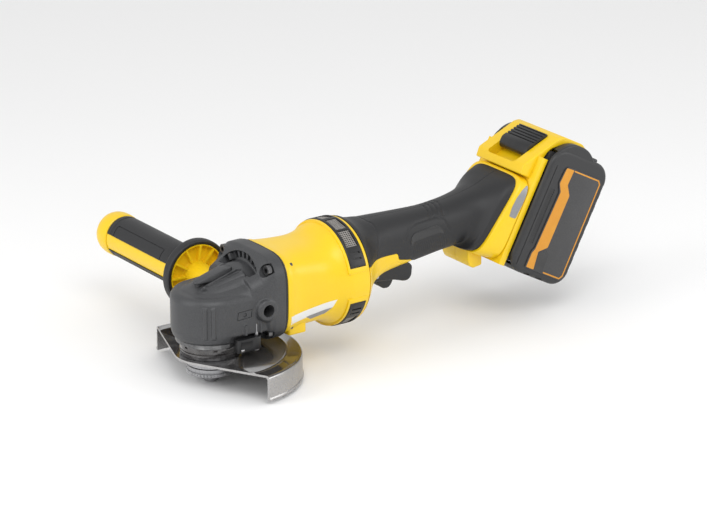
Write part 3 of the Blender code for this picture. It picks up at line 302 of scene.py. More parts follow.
# ---------------------------------------------------------------- finishes
def finish(name, base, worn, rough, metal=0.0, grain=900.0, bump=0.08, spread=0.05,
           wear=0.35, coat=0.0, patch=22.0, tint=None, coat_rough=0.1, stretch=None):
    """Moulded, cast, rubber or metal surface: grain, colour drift, worn edges."""
    mat = bpy.data.materials.new(name)
    mat.use_nodes = True
    nodes, links = mat.node_tree.nodes, mat.node_tree.links
    shader = nodes["Principled BSDF"]
    shader.inputs["Metallic"].default_value = metal
    shader.inputs["Coat Weight"].default_value = coat
    shader.inputs["Coat Roughness"].default_value = coat_rough
    coords = nodes.new("ShaderNodeTexCoord")
    source = coords.outputs["Object"]
    if stretch:
        mapping = nodes.new("ShaderNodeMapping")
        mapping.inputs["Scale"].default_value = stretch
        links.new(source, mapping.inputs["Vector"])
        fine_source = mapping.outputs["Vector"]
    else:
        fine_source = source

    def noise(scale, detail, vector):
        node = nodes.new("ShaderNodeTexNoise")
        node.inputs["Scale"].default_value = scale
        node.inputs["Detail"].default_value = detail
        links.new(vector, node.inputs["Vector"])
        return node.outputs["Fac"]

    def spread_to(value, low, high, from_low=0.3, from_high=0.7):
        node = nodes.new("ShaderNodeMapRange")
        node.inputs["From Min"].default_value = from_low
        node.inputs["From Max"].default_value = from_high
        node.inputs["To Min"].default_value = low
        node.inputs["To Max"].default_value = high
        links.new(value, node.inputs["Value"])
        return node.outputs["Result"]

    def mix(factor, a, b):
        node = nodes.new("ShaderNodeMix")
        node.data_type = "RGBA"
        for socket, value in ((node.inputs[0], factor), (node.inputs[6], a), (node.inputs[7], b)):
            if isinstance(value, (tuple, float, int)):
                socket.default_value = value
            else:
                links.new(value, socket)
        return node.outputs[2]

    drift = noise(patch, 3.0, source)
    fine = noise(grain, 4.0, fine_source)
    other = tint or tuple(c * 0.78 for c in base)
    colour = mix(spread_to(drift, 0.0, 1.0), (*base, 1.0), (*other, 1.0))
    speck = mix(spread_to(fine, 0.0, 0.16), colour, (*worn, 1.0))
    geometry = nodes.new("ShaderNodeNewGeometry")
    edge = spread_to(geometry.outputs["Pointiness"], 0.0, wear, 0.52, 0.62)
    broken = nodes.new("ShaderNodeMath")
    broken.operation = "MULTIPLY"
    links.new(edge, broken.inputs[0])
    links.new(spread_to(noise(130.0, 4.0, source), 0.2, 1.0), broken.inputs[1])
    links.new(mix(broken.outputs[0], speck, (*worn, 1.0)), shader.inputs["Base Color"])
    blurred = nodes.new("ShaderNodeMath")
    blurred.operation = "ADD"
    links.new(spread_to(drift, rough - spread, rough + spread), blurred.inputs[0])
    links.new(spread_to(fine, -0.03, 0.03), blurred.inputs[1])
    links.new(blurred.outputs[0], shader.inputs["Roughness"])
    relief = nodes.new("ShaderNodeBump")
    relief.inputs["Strength"].default_value = bump
    relief.inputs["Distance"].default_value = 0.0004
    links.new(fine, relief.inputs["Height"])
    links.new(relief.outputs["Normal"], shader.inputs["Normal"])
    return mat


def make_finishes():
    looks = {}

    def look(name, *colours_and_roughness, **extras):
        looks[name] = finish(name, *colours_and_roughness, **extras)

    look("yellow_plastic", (0.86, 0.575, 0.002), (0.95, 0.68, 0.02), 0.36, bump=0.05, spread=0.04,
         wear=0.12, coat=0.1, tint=(0.84, 0.54, 0.004), coat_rough=0.2)
    look("black_plastic", (0.007, 0.007, 0.0076), (0.035, 0.035, 0.038), 0.42, bump=0.12,
         tint=(0.009, 0.009, 0.01))
    look("grip_rubber", (0.009, 0.0092, 0.0105), (0.035, 0.036, 0.039), 0.5, bump=0.22,
         grain=1400.0, tint=(0.012, 0.0122, 0.0138))
    look("gasket_rubber", (0.015, 0.015, 0.016), (0.05, 0.05, 0.05), 0.6, bump=0.1)
    look("gear_case_metal", (0.05, 0.0505, 0.053), (0.17, 0.175, 0.18), 0.44, metal=0.25,
         bump=0.16, grain=1100.0, tint=(0.043, 0.044, 0.047))
    look("dark_alloy", (0.05, 0.05, 0.053), (0.5, 0.5, 0.5), 0.36, metal=0.8, bump=0.08,
         tint=(0.035, 0.035, 0.037), wear=0.7)
    look("machined_steel", (0.34, 0.34, 0.35), (0.75, 0.75, 0.76), 0.3, metal=1.0, bump=0.08,
         tint=(0.24, 0.24, 0.25))
    look("screw_steel", (0.07, 0.07, 0.075), (0.4, 0.4, 0.4), 0.34, metal=0.9, bump=0.06)
    look("guard_steel", (0.016, 0.013, 0.012), (0.32, 0.32, 0.33), 0.16, metal=0.55, bump=0.02,
         spread=0.04, wear=0.8, coat=0.8, tint=(0.03, 0.022, 0.018), coat_rough=0.06, patch=30.0)
    look("laminations", (0.2, 0.21, 0.23), (0.5, 0.5, 0.5), 0.45, metal=0.8, stretch=(14.0, 1.0,
         1.0))
    look("battery_inside", (0.05, 0.05, 0.055), (0.15, 0.15, 0.15), 0.5, bump=0.1)
    look("label_film", (0.024, 0.024, 0.0255), (0.12, 0.12, 0.12), 0.38, bump=0.02, coat=0.2,
         tint=(0.028, 0.028, 0.03))
    look("bumper", (0.055, 0.056, 0.06), (0.13, 0.13, 0.135), 0.5, bump=0.2, grain=1300.0)
    look("pack_grey", (0.021, 0.0213, 0.0225), (0.065, 0.065, 0.07), 0.42, bump=0.18,
         grain=1200.0, tint=(0.018, 0.0183, 0.0195))
    look("amber_print", (0.62, 0.25, 0.008), (0.8, 0.4, 0.05), 0.36, bump=0.03, tint=(0.55, 0.21,
         0.006))
    look("badge_black", (0.012, 0.012, 0.013), (0.05, 0.05, 0.05), 0.3, bump=0.03, coat=0.3)
    look("label_white", (0.78, 0.78, 0.76), (0.9, 0.9, 0.9), 0.38, bump=0.03, tint=(0.72, 0.72,
         0.7))
    look("label_grey", (0.27, 0.275, 0.285), (0.45, 0.45, 0.45), 0.36, metal=0.2, bump=0.03)
    look("bright_steel", (0.62, 0.62, 0.63), (0.85, 0.85, 0.85), 0.16, metal=1.0, bump=0.03,
         tint=(0.5, 0.5, 0.51))
    look("satin_lip", (0.42, 0.41, 0.405), (0.8, 0.8, 0.8), 0.27, metal=1.0, bump=0.05, tint=(0.3,
         0.29, 0.285), patch=14.0)
    look("mesh_grey", (0.3, 0.28, 0.26), (0.5, 0.48, 0.45), 0.5, bump=0.1, tint=(0.22, 0.21, 0.2))
    look("board_green", (0.02, 0.1, 0.06), (0.1, 0.3, 0.2), 0.45, bump=0.05)
    return looks


LOOKS = make_finishes()


# ---------------------------------------------------------------- scene
NODE_LOOKS = {node: look for look, nodes in (
    ("machined_steel", "spindle ring_gear pinion spindle_bearing_lower spindle_bearing_upper "
                       "inner_flange clamp_nut guard_lever_pin spindle_lock_spring rotor_shaft "
                       "rotor_bearing_front rotor_bearing_rear paddle_pin paddle_spring "
                       "battery_button_spring side_handle_stud"),
    ("yellow_plastic", "motor_housing handle_shell_left handle_shell_right "
                       "battery_upper_housing side_handle_core side_handle_end_cap"),
    ("grip_rubber", "handle_grip_left handle_grip_right side_handle_rim side_handle_grip"),
    ("gear_case_metal", "gear_case spindle_lock_button"), ("gasket_rubber", "gear_case_gasket"),
    ("dark_alloy", "bearing_cap"), ("guard_steel", "guard guard_collar"),
    ("laminations", "stator rotor_core"), ("board_green", "control_module"),
    ("pack_grey", "battery_lower_housing"), ("battery_inside", "battery_cell_pack"),
    ("label_film", "battery_label")) for node in nodes.split()}


def dress_node(name, obj):
    """Every slot of a carried-over part gets its finish; the rest is black plastic."""
    look = NODE_LOOKS.get(name, "screw_steel" if "screw" in name else "black_plastic")
    if not obj.material_slots:
        obj.data.materials.append(LOOKS[look])
    for slot in obj.material_slots:
        slot.material = LOOKS[look]


def place(obj, look, body, *nodes, slot=None):
    """Give a piece its finish, its body and the nodes it replaces; the slot argument is not used.
    """
    obj.data.materials.clear()
    obj.data.materials.append(LOOKS[look])
    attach(obj, body)
    if nodes:
        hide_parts(*nodes)


def place_two(obj, look, second, is_second, body, node):
    """The same with a second finish on the faces that is_second picks."""
    place(obj, look, body, node)
    obj.data.materials.append(LOOKS[second])
    for poly in obj.data.polygons:
        poly.material_index = int(is_second(poly))


def soft_light(name, size, power, place_at, aim):
    data = bpy.data.lights.new(name, "AREA")
    data.shape = "RECTANGLE"
    data.size, data.size_y = size
    data.energy = power
    obj = bpy.data.objects.new(name, data)
    bpy.context.scene.collection.objects.link(obj)
    obj.location = place_at
    obj.rotation_euler = (Vector(aim) - Vector(place_at)).to_track_quat("-Z", "Y").to_euler()


def studio():
    scene = bpy.context.scene
    world = bpy.data.worlds.new("studio")
    world.use_nodes = True
    world.node_tree.nodes["Background"].inputs[0].default_value = (1, 1, 1, 1)
    world.node_tree.nodes["Background"].inputs[1].default_value = 0.78
    scene.world = world
    scene.view_settings.view_transform = "Standard"
    scene.view_settings.look = "None"
    soft_light("key", (0.9, 0.7), 6.0, (-0.25, -0.75, 1.15), (0.12, 0, 0.06))
    soft_light("left_strip", (0.5, 1.0), 4.0, (-0.95, 0.15, 0.55), (0.1, 0, 0.07))
    soft_light("right_fill", (0.8, 0.5), 3.0, (0.95, -0.85, 0.50), (0.2, 0, 0.08))
    bm = bmesh.new()
    bmesh.ops.create_grid(bm, x_segments=1, y_segments=1, size=3.2)
    floor = new_object("floor", bm)
    floor.location = (0.2, 0, -0.0004)
    mat = finish("pale_floor", (0.95, 0.95, 0.95), (0.97, 0.97, 0.97), 0.75, bump=0.01,
                 grain=200.0, patch=2.0, tint=(0.94, 0.94, 0.94))
    floor.data.materials.append(mat)


VIEW_AZIMUTH, VIEW_ELEVATION = math.radians(35.25), math.radians(19.96)
VIEW_FROM = (-1.4666, -2.2809, 1.0847)
SENSOR, LENS = 36.0, 178.218


def camera():
    flat = math.cos(VIEW_ELEVATION)
    back = Vector((-math.sin(VIEW_AZIMUTH) * flat, -math.cos(VIEW_AZIMUTH) * flat,
                   math.sin(VIEW_ELEVATION)))
    right = Vector((math.cos(VIEW_AZIMUTH), -math.sin(VIEW_AZIMUTH), 0.0))
    data = bpy.data.cameras.new("camera")
    data.sensor_width, data.lens = SENSOR, LENS
    data.clip_start, data.clip_end = 0.1, 20.0
    cam = bpy.data.objects.new("camera", data)
    bpy.context.scene.collection.objects.link(cam)
    turn = Matrix((right, back.cross(right), back)).transposed().to_4x4()
    cam.matrix_world = Matrix.Translation(VIEW_FROM) @ turn
    bpy.context.scene.camera = cam


# ---------------------------------------------------------------- gear head
def nose_ring(z, r, width, rear=40.0):
    points = []
    for k in range(49):
        t = math.radians(90 + 180 * k / 48)
        points.append((r * math.cos(t), r * math.sin(t), z))
    points += [(rear * f, -(r + (width - r) * f), z) for f in (0.25, 0.5, 0.75, 1.0)]
    points += [(rear * f, r + (width - r) * f, z) for f in (1.0, 0.75, 0.5, 0.25)]
    return points


ROOF = ((-21.2, 9.0, 77.5, 2.2), (-19.5, 13.0, 80.5, 2.3), (-15.0, 17.5, 83.3, 2.5),
        (-5.0, 21.0, 87.0, 2.8), (10.0, 23.5, 91.0, 2.9), (25.0, 26.0, 95.5, 2.9),
        (44.0, 34.0, 103.5, 3.0))


def roof_height(x):
    for (x0, _, z0, _), (x1, _, z1, _) in zip(ROOF, ROOF[1:]):
        if x <= x1:
            return z0 + (z1 - z0) * max(x - x0, 0) / (x1 - x0)
    return ROOF[-1][2]


def finger(name, x0, y0, x1, y1, w0, w1, drop0, drop1):
    """Long tapering bar lying along the roof, set drop mm over or under its skin."""
    rings = []
    for k in range(15):
        f = k / 14
        x, y = x0 + (x1 - x0) * f, y0 + (y1 - y0) * f
        w = (w0 + (w1 - w0) * f) * math.sqrt(max(0.06, 1 - (2 * f - 1) ** 10))
        z = roof_height(x) + drop0 + (drop1 - drop0) * f
        rings.append([(x, y + w * c, z + (12.0 if s > 0 else 0.0)) for c, s in
                      ((1, -1), (1, 1), (-1, 1), (-1, -1))])
    return skin(name, rings)


def gear_case():
    body = skin("gear_case_casting", [
        nose_ring(40.6, 29.6, 32.0), nose_ring(42.0, 31.2, 34.6), nose_ring(43.5, 31.9, 35.6),
        nose_ring(48.0, 33.0, 37.9), nose_ring(74.5, 33.0, 37.9), nose_ring(76.4, 32.6, 37.4),
        nose_ring(78.0, 31.6, 36.4), nose_ring(79.5, 30.2, 35.0), nose_ring(80.4, 28.0, 33.2)])
    roof = skin("roof", [section_yz(x, 74.0, a, top - 74.0, n) for x, a, top, n in
                         dense(ROOF, 2.0)])
    shoulder = skin("shoulder", [even_ring(section_yz(x, 70.0, a, top - 70.0, 3.2), SEG)
                                 for x, a, top in
                                 dense(((-25.5, 12, 76.0), (-22, 18, 80.6), (-14, 24, 82.6),
                                        (0, 29.5, 84.2), (14, 33, 86.6), (27, 35.5, 90.5),
                                        (40, 37.5, 95.0)), 2.5)])
    flange = skin("flange", [section_yz(20, 69.5, 34, 22, 4), section_yz(30.2, 69.8, 37.5, 27, 4),
        section_yz(33.5, 70.2, 39.9, 34, 4.0), section_yz(37.2, MOTOR_Z, 39.9, 37.0, 4.0),
        section_yz(38.6, MOTOR_Z, 40.4, 37.6, 4.0), section_yz(49.2, MOTOR_Z, 40.4, 37.6, 4.0)])
    hump = skin("hump", [section_yz(x, 74.0, a, top - 74.0, 4.0) for x, a, top in
                         ((33, 9, 100.5), (38, 11.5, 106.0), (41, 12, 108.2), (49.2, 12, 108.4))])
    add(body, roof, shoulder, flange, hump)
    for sign in (-1, 1):
        boss = turned("boss", [(0, 9.1), (8.2, 9.1), (9.5, 8.0), (10.6, 1.0), (10.6, 0),
                               (0, 0)], 64, "Y")
        turn = Matrix.Identity(4) if sign > 0 else rot(180, "X")
        boss.data.transform(shift((HANDLE_X, sign * 32.0, HANDLE_Z)) @ turn)
        add(body, boss)
    ribs = []
    for degrees, wide in ((230, 3.4), (242, 3.4), (130, 3.4), (118, 3.4)):
        ribs.append(((3.4, wide, 27.0), rot(degrees, "Z") @ at(32.7, 0, 61.0)))
    for sign in (-1, 1):
        for x in (26.0, 12.0):
            ribs.append(((2.2, 2.0, 16), at(x, sign * (35.6 if x < 20 else 37.0), 48.0)))
    add(body, boxes("nose_ribs", ribs))
    cut(body, finger("groove_far", 2.0, 7.6, 25.5, 12.2, 0.8, 3.0, -1.6, -3.2),
        finger("groove_near_a", -8.0, -7.6, 25.5, -8.6, 1.0, 3.3, -1.9, -3.8),
        finger("groove_near_b", -4.0, -13.4, 24.5, -18.6, 0.9, 2.9, -1.8, -3.6),
        prism("tip_pocket", round_corners([(-16.6, -9.0), (-8.6, -5.6), (-9.4, -11.8)], 1.0),
              83.2, 95.0))
    arch = []
    for k in range(-12, 13):
        t = math.radians(3.9 * k)
        arch.append((34.4 * math.sin(t), 34.4 * math.cos(t)))
    for k in range(12, -13, -1):
        t = math.radians(4.0 * k)
        arch.append((26.2 * math.sin(t), 26.2 * math.cos(t)))
    cut(body, prism("vent_arch", round_corners(arch, 0.5, 2), 24.0, 35.2, "YZ", shift(MOTOR_AT)))
    soften(body, 0.62, 7, 0.55)
    room = turned("room", [(0, 79.2), (15, 79.2), (21.5, 74.5), (25.8, 68), (25.8, 47),
                           (23.4, 46.7), (23.4, 38), (0, 38)], 64)
    cut(body, room, rod("needle", 8.1, 72, 82, 48), rod("pinion", 9.3, 11, 36, 48, "X", MOTOR_AT),
        turned("fan_room", [(0, 52), (34.6, 52), (34.6, 44), (11.15, 43.2), (11.15, 35.4),
                            (0, 35.4)], 72, "X", MOTOR_AT),
        boxes("vents", [((14.0, 3.6, 5.4), at(*MOTOR_AT) @ rot(11.5 * k, "X")
                         @ at(38.5, 0, 31.0)) for k in range(-4, 5)]),
        boxes("lever_room", [((29.0, 16.4, 17.4), at(13.0, -37.8, 38.7))]))
    for sign in (-1, 1):
        cut(body, rod("socket", 5.3, 0, 16, 40, "Y",
                         (HANDLE_X, 28.0 if sign > 0 else -44.0, HANDLE_Z)))
    slot = prism("lock_slot", rounded(-16.4, -4.9, 21.4, 4.9, 4.8), 84.2, 110)
    cut(body, slot, rod("lock_bore", 2.35, 66, 90, 24, "Z", (LOCK_X, 0, 0)))
    for y, z in FLANGE_SCREWS:
        cut(body, rod("pocket", 5.4, 0, 12, 32, "X", (27.6, y, z)),
                rod("bore", 2.35, 0, 14, 20, "X", (38.0, y, z)))
    for degrees in (45, 135, 225, 315):
        t = math.radians(degrees)
        cut(body, rod("cap_bore", 1.75, 0, 8, 20, "Z",
                         (26.2 * math.cos(t), 26.2 * math.sin(t), 39.0)))
    cut(body, rod("lever_bore", 1.95, 46, 55.4, 20, "Z", LEVER_PIVOT))
    panel = round_corners([(4.6, 60.6), (5.6, 67.8), (18.8, 69.0), (17.8, 61.8)], 0.8, 3)
    inner = round_corners([(5.3, 61.2), (6.2, 67.2), (18.1, 68.3), (17.2, 62.4)], 0.6, 3)
    frame_line = prism("panel_frame", panel, -38.0, -33.85, "XZ")
    cut(frame_line, prism("panel_inner", inner, -45.0, -30.0, "XZ"))
    dimple = rod("panel_dimple", 2.0, 33.6, 38.0, 32, "Y")
    dimple.data.transform(shift((11.6, 0, 64.8)) @ rot(180, "X"))
    skew = turn_about((11.6 * MM, -0.0345, 0.0648), -7.2, "Z")
    frame_line.data.transform(skew)
    dimple.data.transform(skew)
    cut(body, frame_line, degrees=40.0)
    cut(body, dimple, degrees=40.0)
    place(body, "gear_case_metal", "housing", "gear_case")

    button = prism("lock_button", rounded(-16.0, -4.5, 21.0, 4.5, 4.4, 10), 87.6, 96.0)
    slope = skin("slope", [section_yz(x, 120.0, 30.0, 120.0 - z, 20.0) for x, z in
                           ((-30.0, 85.2), (40.0, 103.4))])
    cut(button, slope)
    bevel(button, 0.9, 3)
    add(button, turned("lock_pin", [(0, 89.0), (2.0, 89.0), (2.0, 70.2), (1.6, 69.8),
                                    (0, 69.8)], 24, "Z", (LOCK_X, 0, 0)))
    place(button, "gear_case_metal", "spindle_lock", "spindle_lock_button")


def knurled_nut():
    nut = turned("knurled_nut", [
        (10.4, 15.6), (20.3, 15.6), (20.7, 15.2), (20.7, 12.7), (20.2, 12.3), (20.2, 11.8),
        (20.75, 11.4), (20.75, 9.0), (20.0, 8.2), (11.0, 8.2), (10.4, 8.8), (7.2, 8.8),
        (7.2, 15.2), (10.4, 15.2)], 96)
    holes = [((4.4, 4.4, 5.0), rot(45 + 90 * k, "Z") @ at(15.5, 0, 8.5)) for k in range(4)]
    knurls = []
    for k in range(44):
        for lean in (-32, 32):
            knurls.append(((0.62, 0.62, 4.2), rot(360 * k / 44, "Z") @ at(20.95, 0, 10.2)
                           @ rot(lean, "X") @ rot(45, "Z")))
    cut(nut, boxes("holes", holes))
    cut(nut, boxes("knurls", knurls[0::2]))
    cut(nut, boxes("knurls", knurls[1::2]))
    place(nut, "machined_steel", "spindle", "clamp_nut")


def guard_outline():
    front_r, out = 30.5, 76.5
    near, far = math.radians(-84.0), math.radians(93.7)
    spread = math.acos(front_r / out)
    start, stop = far + spread, near + 2 * math.pi - spread
    corner_a = (out * math.cos(far), out * math.sin(far))
    corner_b = (out * math.cos(near), out * math.sin(near))
    points = [(corner_a[0], corner_a[1] + 25), corner_a]
    for k in range(41):
        t = start + (stop - start) * k / 40
        points.append((front_r * math.cos(t), front_r * math.sin(t)))
    return points + [corner_b, (corner_b[0], corner_b[1] - 25), (-120, -110), (-120, 110)]


def guard():
    plate = turned("guard_shell", [
        (22.7, 25.0), (61.6, 25.0), (62.2, 25.3), (62.8, 25.7), (64.2, 25.7), (64.8, 25.3),
        (65.4, 25.0), (73.0, 25.0), (74.6, 24.7), (75.8, 23.9), (76.35, 22.8), (76.5, 21.6),
        (76.5, 6.2), (76.8, 5.6), (77.25, 5.1), (77.44, 4.4), (77.3, 3.6), (76.9, 3.05),
        (74.6, 3.0), (74.6, 21.2), (74.2, 22.2), (73.0, 23.1), (22.7, 23.1)], 200)
    cut(plate, prism("front", guard_outline(), -5, 40))

    def bright(poly):
        c = poly.center / MM
        r = math.hypot(c.x, c.y)
        skirt = (r > 76.0 or (r > 74.0 and c.z < 22.5)) and c.z < 23.4
        edge = abs(poly.normal.z) < 0.2 and r < 74.0 and c.z > 23.0 and poly.area > 1e-7
        return skirt or edge

    place_two(plate, "guard_steel", "satin_lip", bright, "guard", "guard")
    collar = turned("clamp_ring", [(22.7, 36.0), (25.1, 36.0), (25.7, 35.6), (25.9, 35.0),
                                   (25.9, 31.4), (25.3, 31.0), (25.3, 30.4), (25.9, 30.0),
                                   (25.9, 26.2), (25.3, 25.3), (22.7, 25.3)], 96)
    cut(collar, boxes("notches", [((3.0, 3.2, 3.4), rot(60 * k + 6, "Z")
                                   @ at(26.2, 0, 35.2)) for k in range(6)]))
    place(collar, "guard_steel", "guard", "guard_collar")
    outline = [(-20.0, -3.6), (-16.0, -4.4), (0.0, -4.2), (3.4, -2.4), (4.2, 0.0),
               (3.2, 3.0), (0.0, 4.0), (-8.0, 3.4), (-17.0, 3.4), (-20.4, 2.0)]
    lever = prism("release_lever", round_corners(outline, 1.6, 5), 33.6, 44.6,
                  "XY", shift(LEVER_PIVOT))
    cut(lever, prism("finger_dip", rounded(-18.0, -9.0, -6.0, -3.3, 2.0), 36.4, 42.0, "XY",
                     shift(LEVER_PIVOT)))
    bevel(lever, 0.7, 3)
    cut(lever, rod("bore", 1.75, 20, 60, 24, "Z", LEVER_PIVOT))
    place_two(lever, "black_plastic", "bright_steel", lambda poly: poly.center.z < 0.0352,
              "guard_lever", "guard_lever")


# ---------------------------------------------------------------- motor housing
HOUSING = ((51.6, 40.1, 35.6, 3.6), (52.6, 40.5, 35.9, 3.6), (56.4, 40.5, 35.9, 3.6),
           (58.6, 39.5, 35.3, 3.5), (66.0, 38.7, 34.9, 3.3), (75.0, 38.2, 34.6, 3.1),
           (90.0, 38.2, 34.8, 2.8), (100.0, 39.8, 37.2, 2.5), (107.0, 42.6, 41.6, 2.2),
           (112.4, 45.0, 45.0, 2.0), (114.0, 45.4, 45.4, 2.0), (129.6, 45.4, 45.4, 2.0),
           (130.6, 45.2, 45.2, 2.0), (131.0, 44.8, 44.8, 2.0))


def arc_band(r_in, r_out, start, stop, steps=40):
    outer, inner = [], []
    for k in range(steps + 1):
        t = math.radians(start + (stop - start) * k / steps)
        outer.append((r_out * math.cos(t), r_out * math.sin(t)))
        inner.append((r_in * math.cos(t), r_in * math.sin(t)))
    return outer + inner[::-1]


def housing_half(x):
    for (x0, a0, b0, n0), (x1, a1, b1, n1) in zip(HOUSING, HOUSING[1:]):
        if x <= x1:
            f = (x - x0) / (x1 - x0)
            return a0 + (a1 - a0) * f, b0 + (b1 - b0) * f, n0 + (n1 - n0) * f
    return HOUSING[-1][1:]


def housing_strip(name, corners, lift, sink):
    """Thin label following the near side of the motor housing."""
    (xa, za), (xb, zb), (xc, zc), (xd, zd) = corners
    cols, rows = 24, 8
    grid = []
    for level in (lift, -sink):
        face = []
        for i in range(cols + 1):
            f = i / cols
            for j in range(rows + 1):
                g = j / rows
                x = (xa + (xb - xa) * f) * (1 - g) + (xd + (xc - xd) * f) * g
                z = (za + (zb - za) * f) * (1 - g) + (zd + (zc - zd) * f) * g
                a, b, n = housing_half(x)
                s = min(abs((z - MOTOR_Z) / b), 0.995)
                y = -a * (1 - s ** n) ** (1 / n)
                face.append((x, y - level, z))
        grid.append(face)
    bm = bmesh.new()
    verts = [[bm.verts.new(Vector(p) * MM) for p in face] for face in grid]
    wide = rows + 1
    for i in range(cols):
        for j in range(rows):
            q = [i * wide + j, (i + 1) * wide + j, (i + 1) * wide + j + 1, i * wide + j + 1]
            bm.faces.new([verts[0][k] for k in q])
            bm.faces.new([verts[1][k] for k in reversed(q)])
    edge = ([j for j in range(rows)] + [i * wide + rows for i in range(cols)]
            + [cols * wide + j for j in range(rows, 0, -1)]
            + [i * wide for i in range(cols, 0, -1)])
    for a, b in zip(edge, edge[1:] + edge[:1]):
        bm.faces.new((verts[0][a], verts[0][b], verts[1][b], verts[1][a]))
    return new_object(name, bm)


def motor():
    body = skin("motor_barrel", [section_yz(x, MOTOR_Z, a, b, n, count=144)
                                 for x, a, b, n in HOUSING[:4] + tuple(dense(HOUSING[4:9], 2.0))
                                 + HOUSING[9:]])
    for sign in (-1, 1):
        tab = prism("tab", rounded(57.0, sign * 26 - 6, 75.0, sign * 26 + 6, 2.4), 35.4, 50)
        bevel(tab, 1.0, 3)
        add(body, tab)
    pads = []
    for k, (start, stop) in enumerate(((14, 166), (194, 346))):
        pads.append(prism("pad_%d" % k, arc_band(40, 45.9, start, stop), 109.6, 129.9, "YZ",
                          shift(MOTOR_AT)))
        bevel(pads[-1], 0.7, 2)
    add(body, *pads)
    cut(body, turned("bore", [(0, 140), (41.8, 140), (41.8, 116), (31.5, 104), (31.5, 40),
                              (0, 40)], 96, "X", MOTOR_AT))
    for y, z in FLANGE_SCREWS:
        cut(body, rod("screw", 1.95, 0, 4.5, 16, "X", (50, y, z)))
    for start, stop in ((20.0, 160.0), (200.0, 340.0)):
        over = math.degrees(0.3 / 44.0)
        cut(body, prism("seat", arc_band(43.0, 60.0, start - over, stop + over), 111.7, 127.9,
                        "YZ", shift(MOTOR_AT)))
    place(body, "yellow_plastic", "housing", "motor_housing")
    for name, start, stop in (("upper", 20.0, 160.0), ("lower", 200.0, 340.0)):
        screen = prism("intake_frame_" + name, arc_band(43.3, 46.55, start, stop), 112.0, 127.6,
                       "YZ", shift(MOTOR_AT))
        bevel(screen, 0.8, 3)
        middle = (start + stop) / 2
        pocket, bars = [], []
        for offset in (-37, -13, 13, 37):
            turn = at(*MOTOR_AT) @ rot(middle + offset, "X")
            pocket.append(((11.0, 5.2, 17.0), turn @ at(119.8, 46.8, 0)))
        cut(screen, boxes("windows", pocket))
        for offset in (-37, -13, 13, 37):
            turn = at(*MOTOR_AT) @ rot(middle + offset, "X")
            for k in range(9):
                bars.append(((11.0, 0.9, 0.55), turn @ at(119.8, 44.7, -7.6 + 1.9 * k)))
            for k in range(6):
                bars.append(((0.5, 0.9, 17.0), turn @ at(115.1 + 1.9 * k, 44.65, 0)))
        clip = []
        for offset in (-58, 58):
            turn = at(*MOTOR_AT) @ rot(middle + offset, "X")
            for k in (-1, 1):
                clip.append(((9.6, 2.0, 1.6), turn @ at(119.8, 46.6, 2.6 * k)))
        cut(screen, boxes("clip_lines", clip))
        place(screen, "black_plastic", "housing", "intake_screen_" + name)
        net = boxes("intake_net_" + name, bars)
        place(net, "mesh_grey", "housing", slot="black_plastic")
    strip = housing_strip("side_strip_white", ((54.5, 55.4), (101.0, 60.6), (97.5, 53.6),
                                               (55.2, 47.4)), 0.14, 0.5)
    place(strip, "label_white", "housing", slot="label_film")
    strip = housing_strip("side_strip_grey", ((71.5, 50.6), (97.6, 53.9), (91.5, 48.8),
                                              (77.5, 46.8)), 0.18, 0.5)
    place(strip, "label_grey", "housing", slot="label_film")


# ---------------------------------------------------------------- handle
HANDLE = ((131.4, 70.9, 45.2, 45.2, 2.0, 2.0, 0), (134.5, 72.6, 42.4, 42.8, 2.1, 2.1, 0),
          (139.0, 75.6, 37.6, 37.6, 2.2, 2.4, 0), (144.0, 79.0, 32.6, 32.8, 2.3, 2.7, 0),
          (150.0, 82.6, 28.0, 28.6, 2.4, 3.2, 0), (158.0, 85.2, 24.6, 25.2, 2.5, 3.8, 0),
          (170.0, 86.6, 22.2, 23.6, 2.5, 3.8, 0), (190.0, 87.0, 20.4, 22.6, 2.5, 3.2, 0),
          (215.0, 87.3, 19.4, 21.9, 2.4, 2.3, 0), (232.0, 88.9, 19.8, 21.3, 2.4, 2.3, 2),
          (243.0, 90.2, 20.4, 22.0, 2.4, 2.4, 10), (253.0, 92.4, 21.6, 23.4, 2.5, 2.5, 20),
          (260.0, 94.2, 24.0, 26.4, 2.8, 2.8, 29), (265.0, 95.4, 27.4, 31.0, 3.5, 3.5, 34),
          (268.8, 96.2, 30.6, 35.2, 4.8, 4.8, 37), (275.4, 96.9, 32.4, 37.6, 5.8, 5.8, 38))
CORE_END = ((281.0, 94.7, 32.3, 36.4, 5.6, 5.6, 33),)
FOOT = ((275.8, 96.6, 34.6, 38.4, 5.6, 5.6, 38), (276.8, 96.3, 36.0, 39.0, 5.6, 5.6, 37),
        (279.4, 95.3, 37.0, 39.2, 5.6, 5.6, 34), (288.6, 91.7, 38.6, 38.4, 5.6, 5.6, 28.2),
        (289.6, 91.3, 38.0, 37.8, 5.6, 5.6, 28))


def handle_rings(table, shrink=0.0, count=SEG):
    return [even_ring(section_yz(x, z, a - shrink, b - shrink, n, math.radians(t), m, 192),
                      count) for x, z, a, b, n, m, t in table]


def core_rings(shrink):
    table = [HANDLE[k] for k in (0, 2, 4, 6, 8, 10, 12, 13, 15)] + list(CORE_END)
    return handle_rings(table, shrink)


REGION = [(120.0, 84.4), (176.4, 80.7), (178.4, 74.4), (194.6, 70.4), (200.0, 62.0),
          (206.0, 30.0), (340.0, 30.0), (340.0, 170.0), (120.0, 170.0)]


def region(grow):
    return round_corners([(x - (grow if 150 < x < 201 else 0), z - (grow if z < 90 else 0))
                          for x, z in REGION], 2.0)


def half(sign):
    low, high = (-90, 0.15) if sign > 0 else (-0.15, 90)
    return prism("half", [(110, -20), (330, -20), (330, 200), (110, 200)], low, high, "XZ")


def smooth_step(value, low, high):
    t = min(max((value - low) / (high - low), 0.0), 1.0)
    return t * t * (3 - 2 * t)


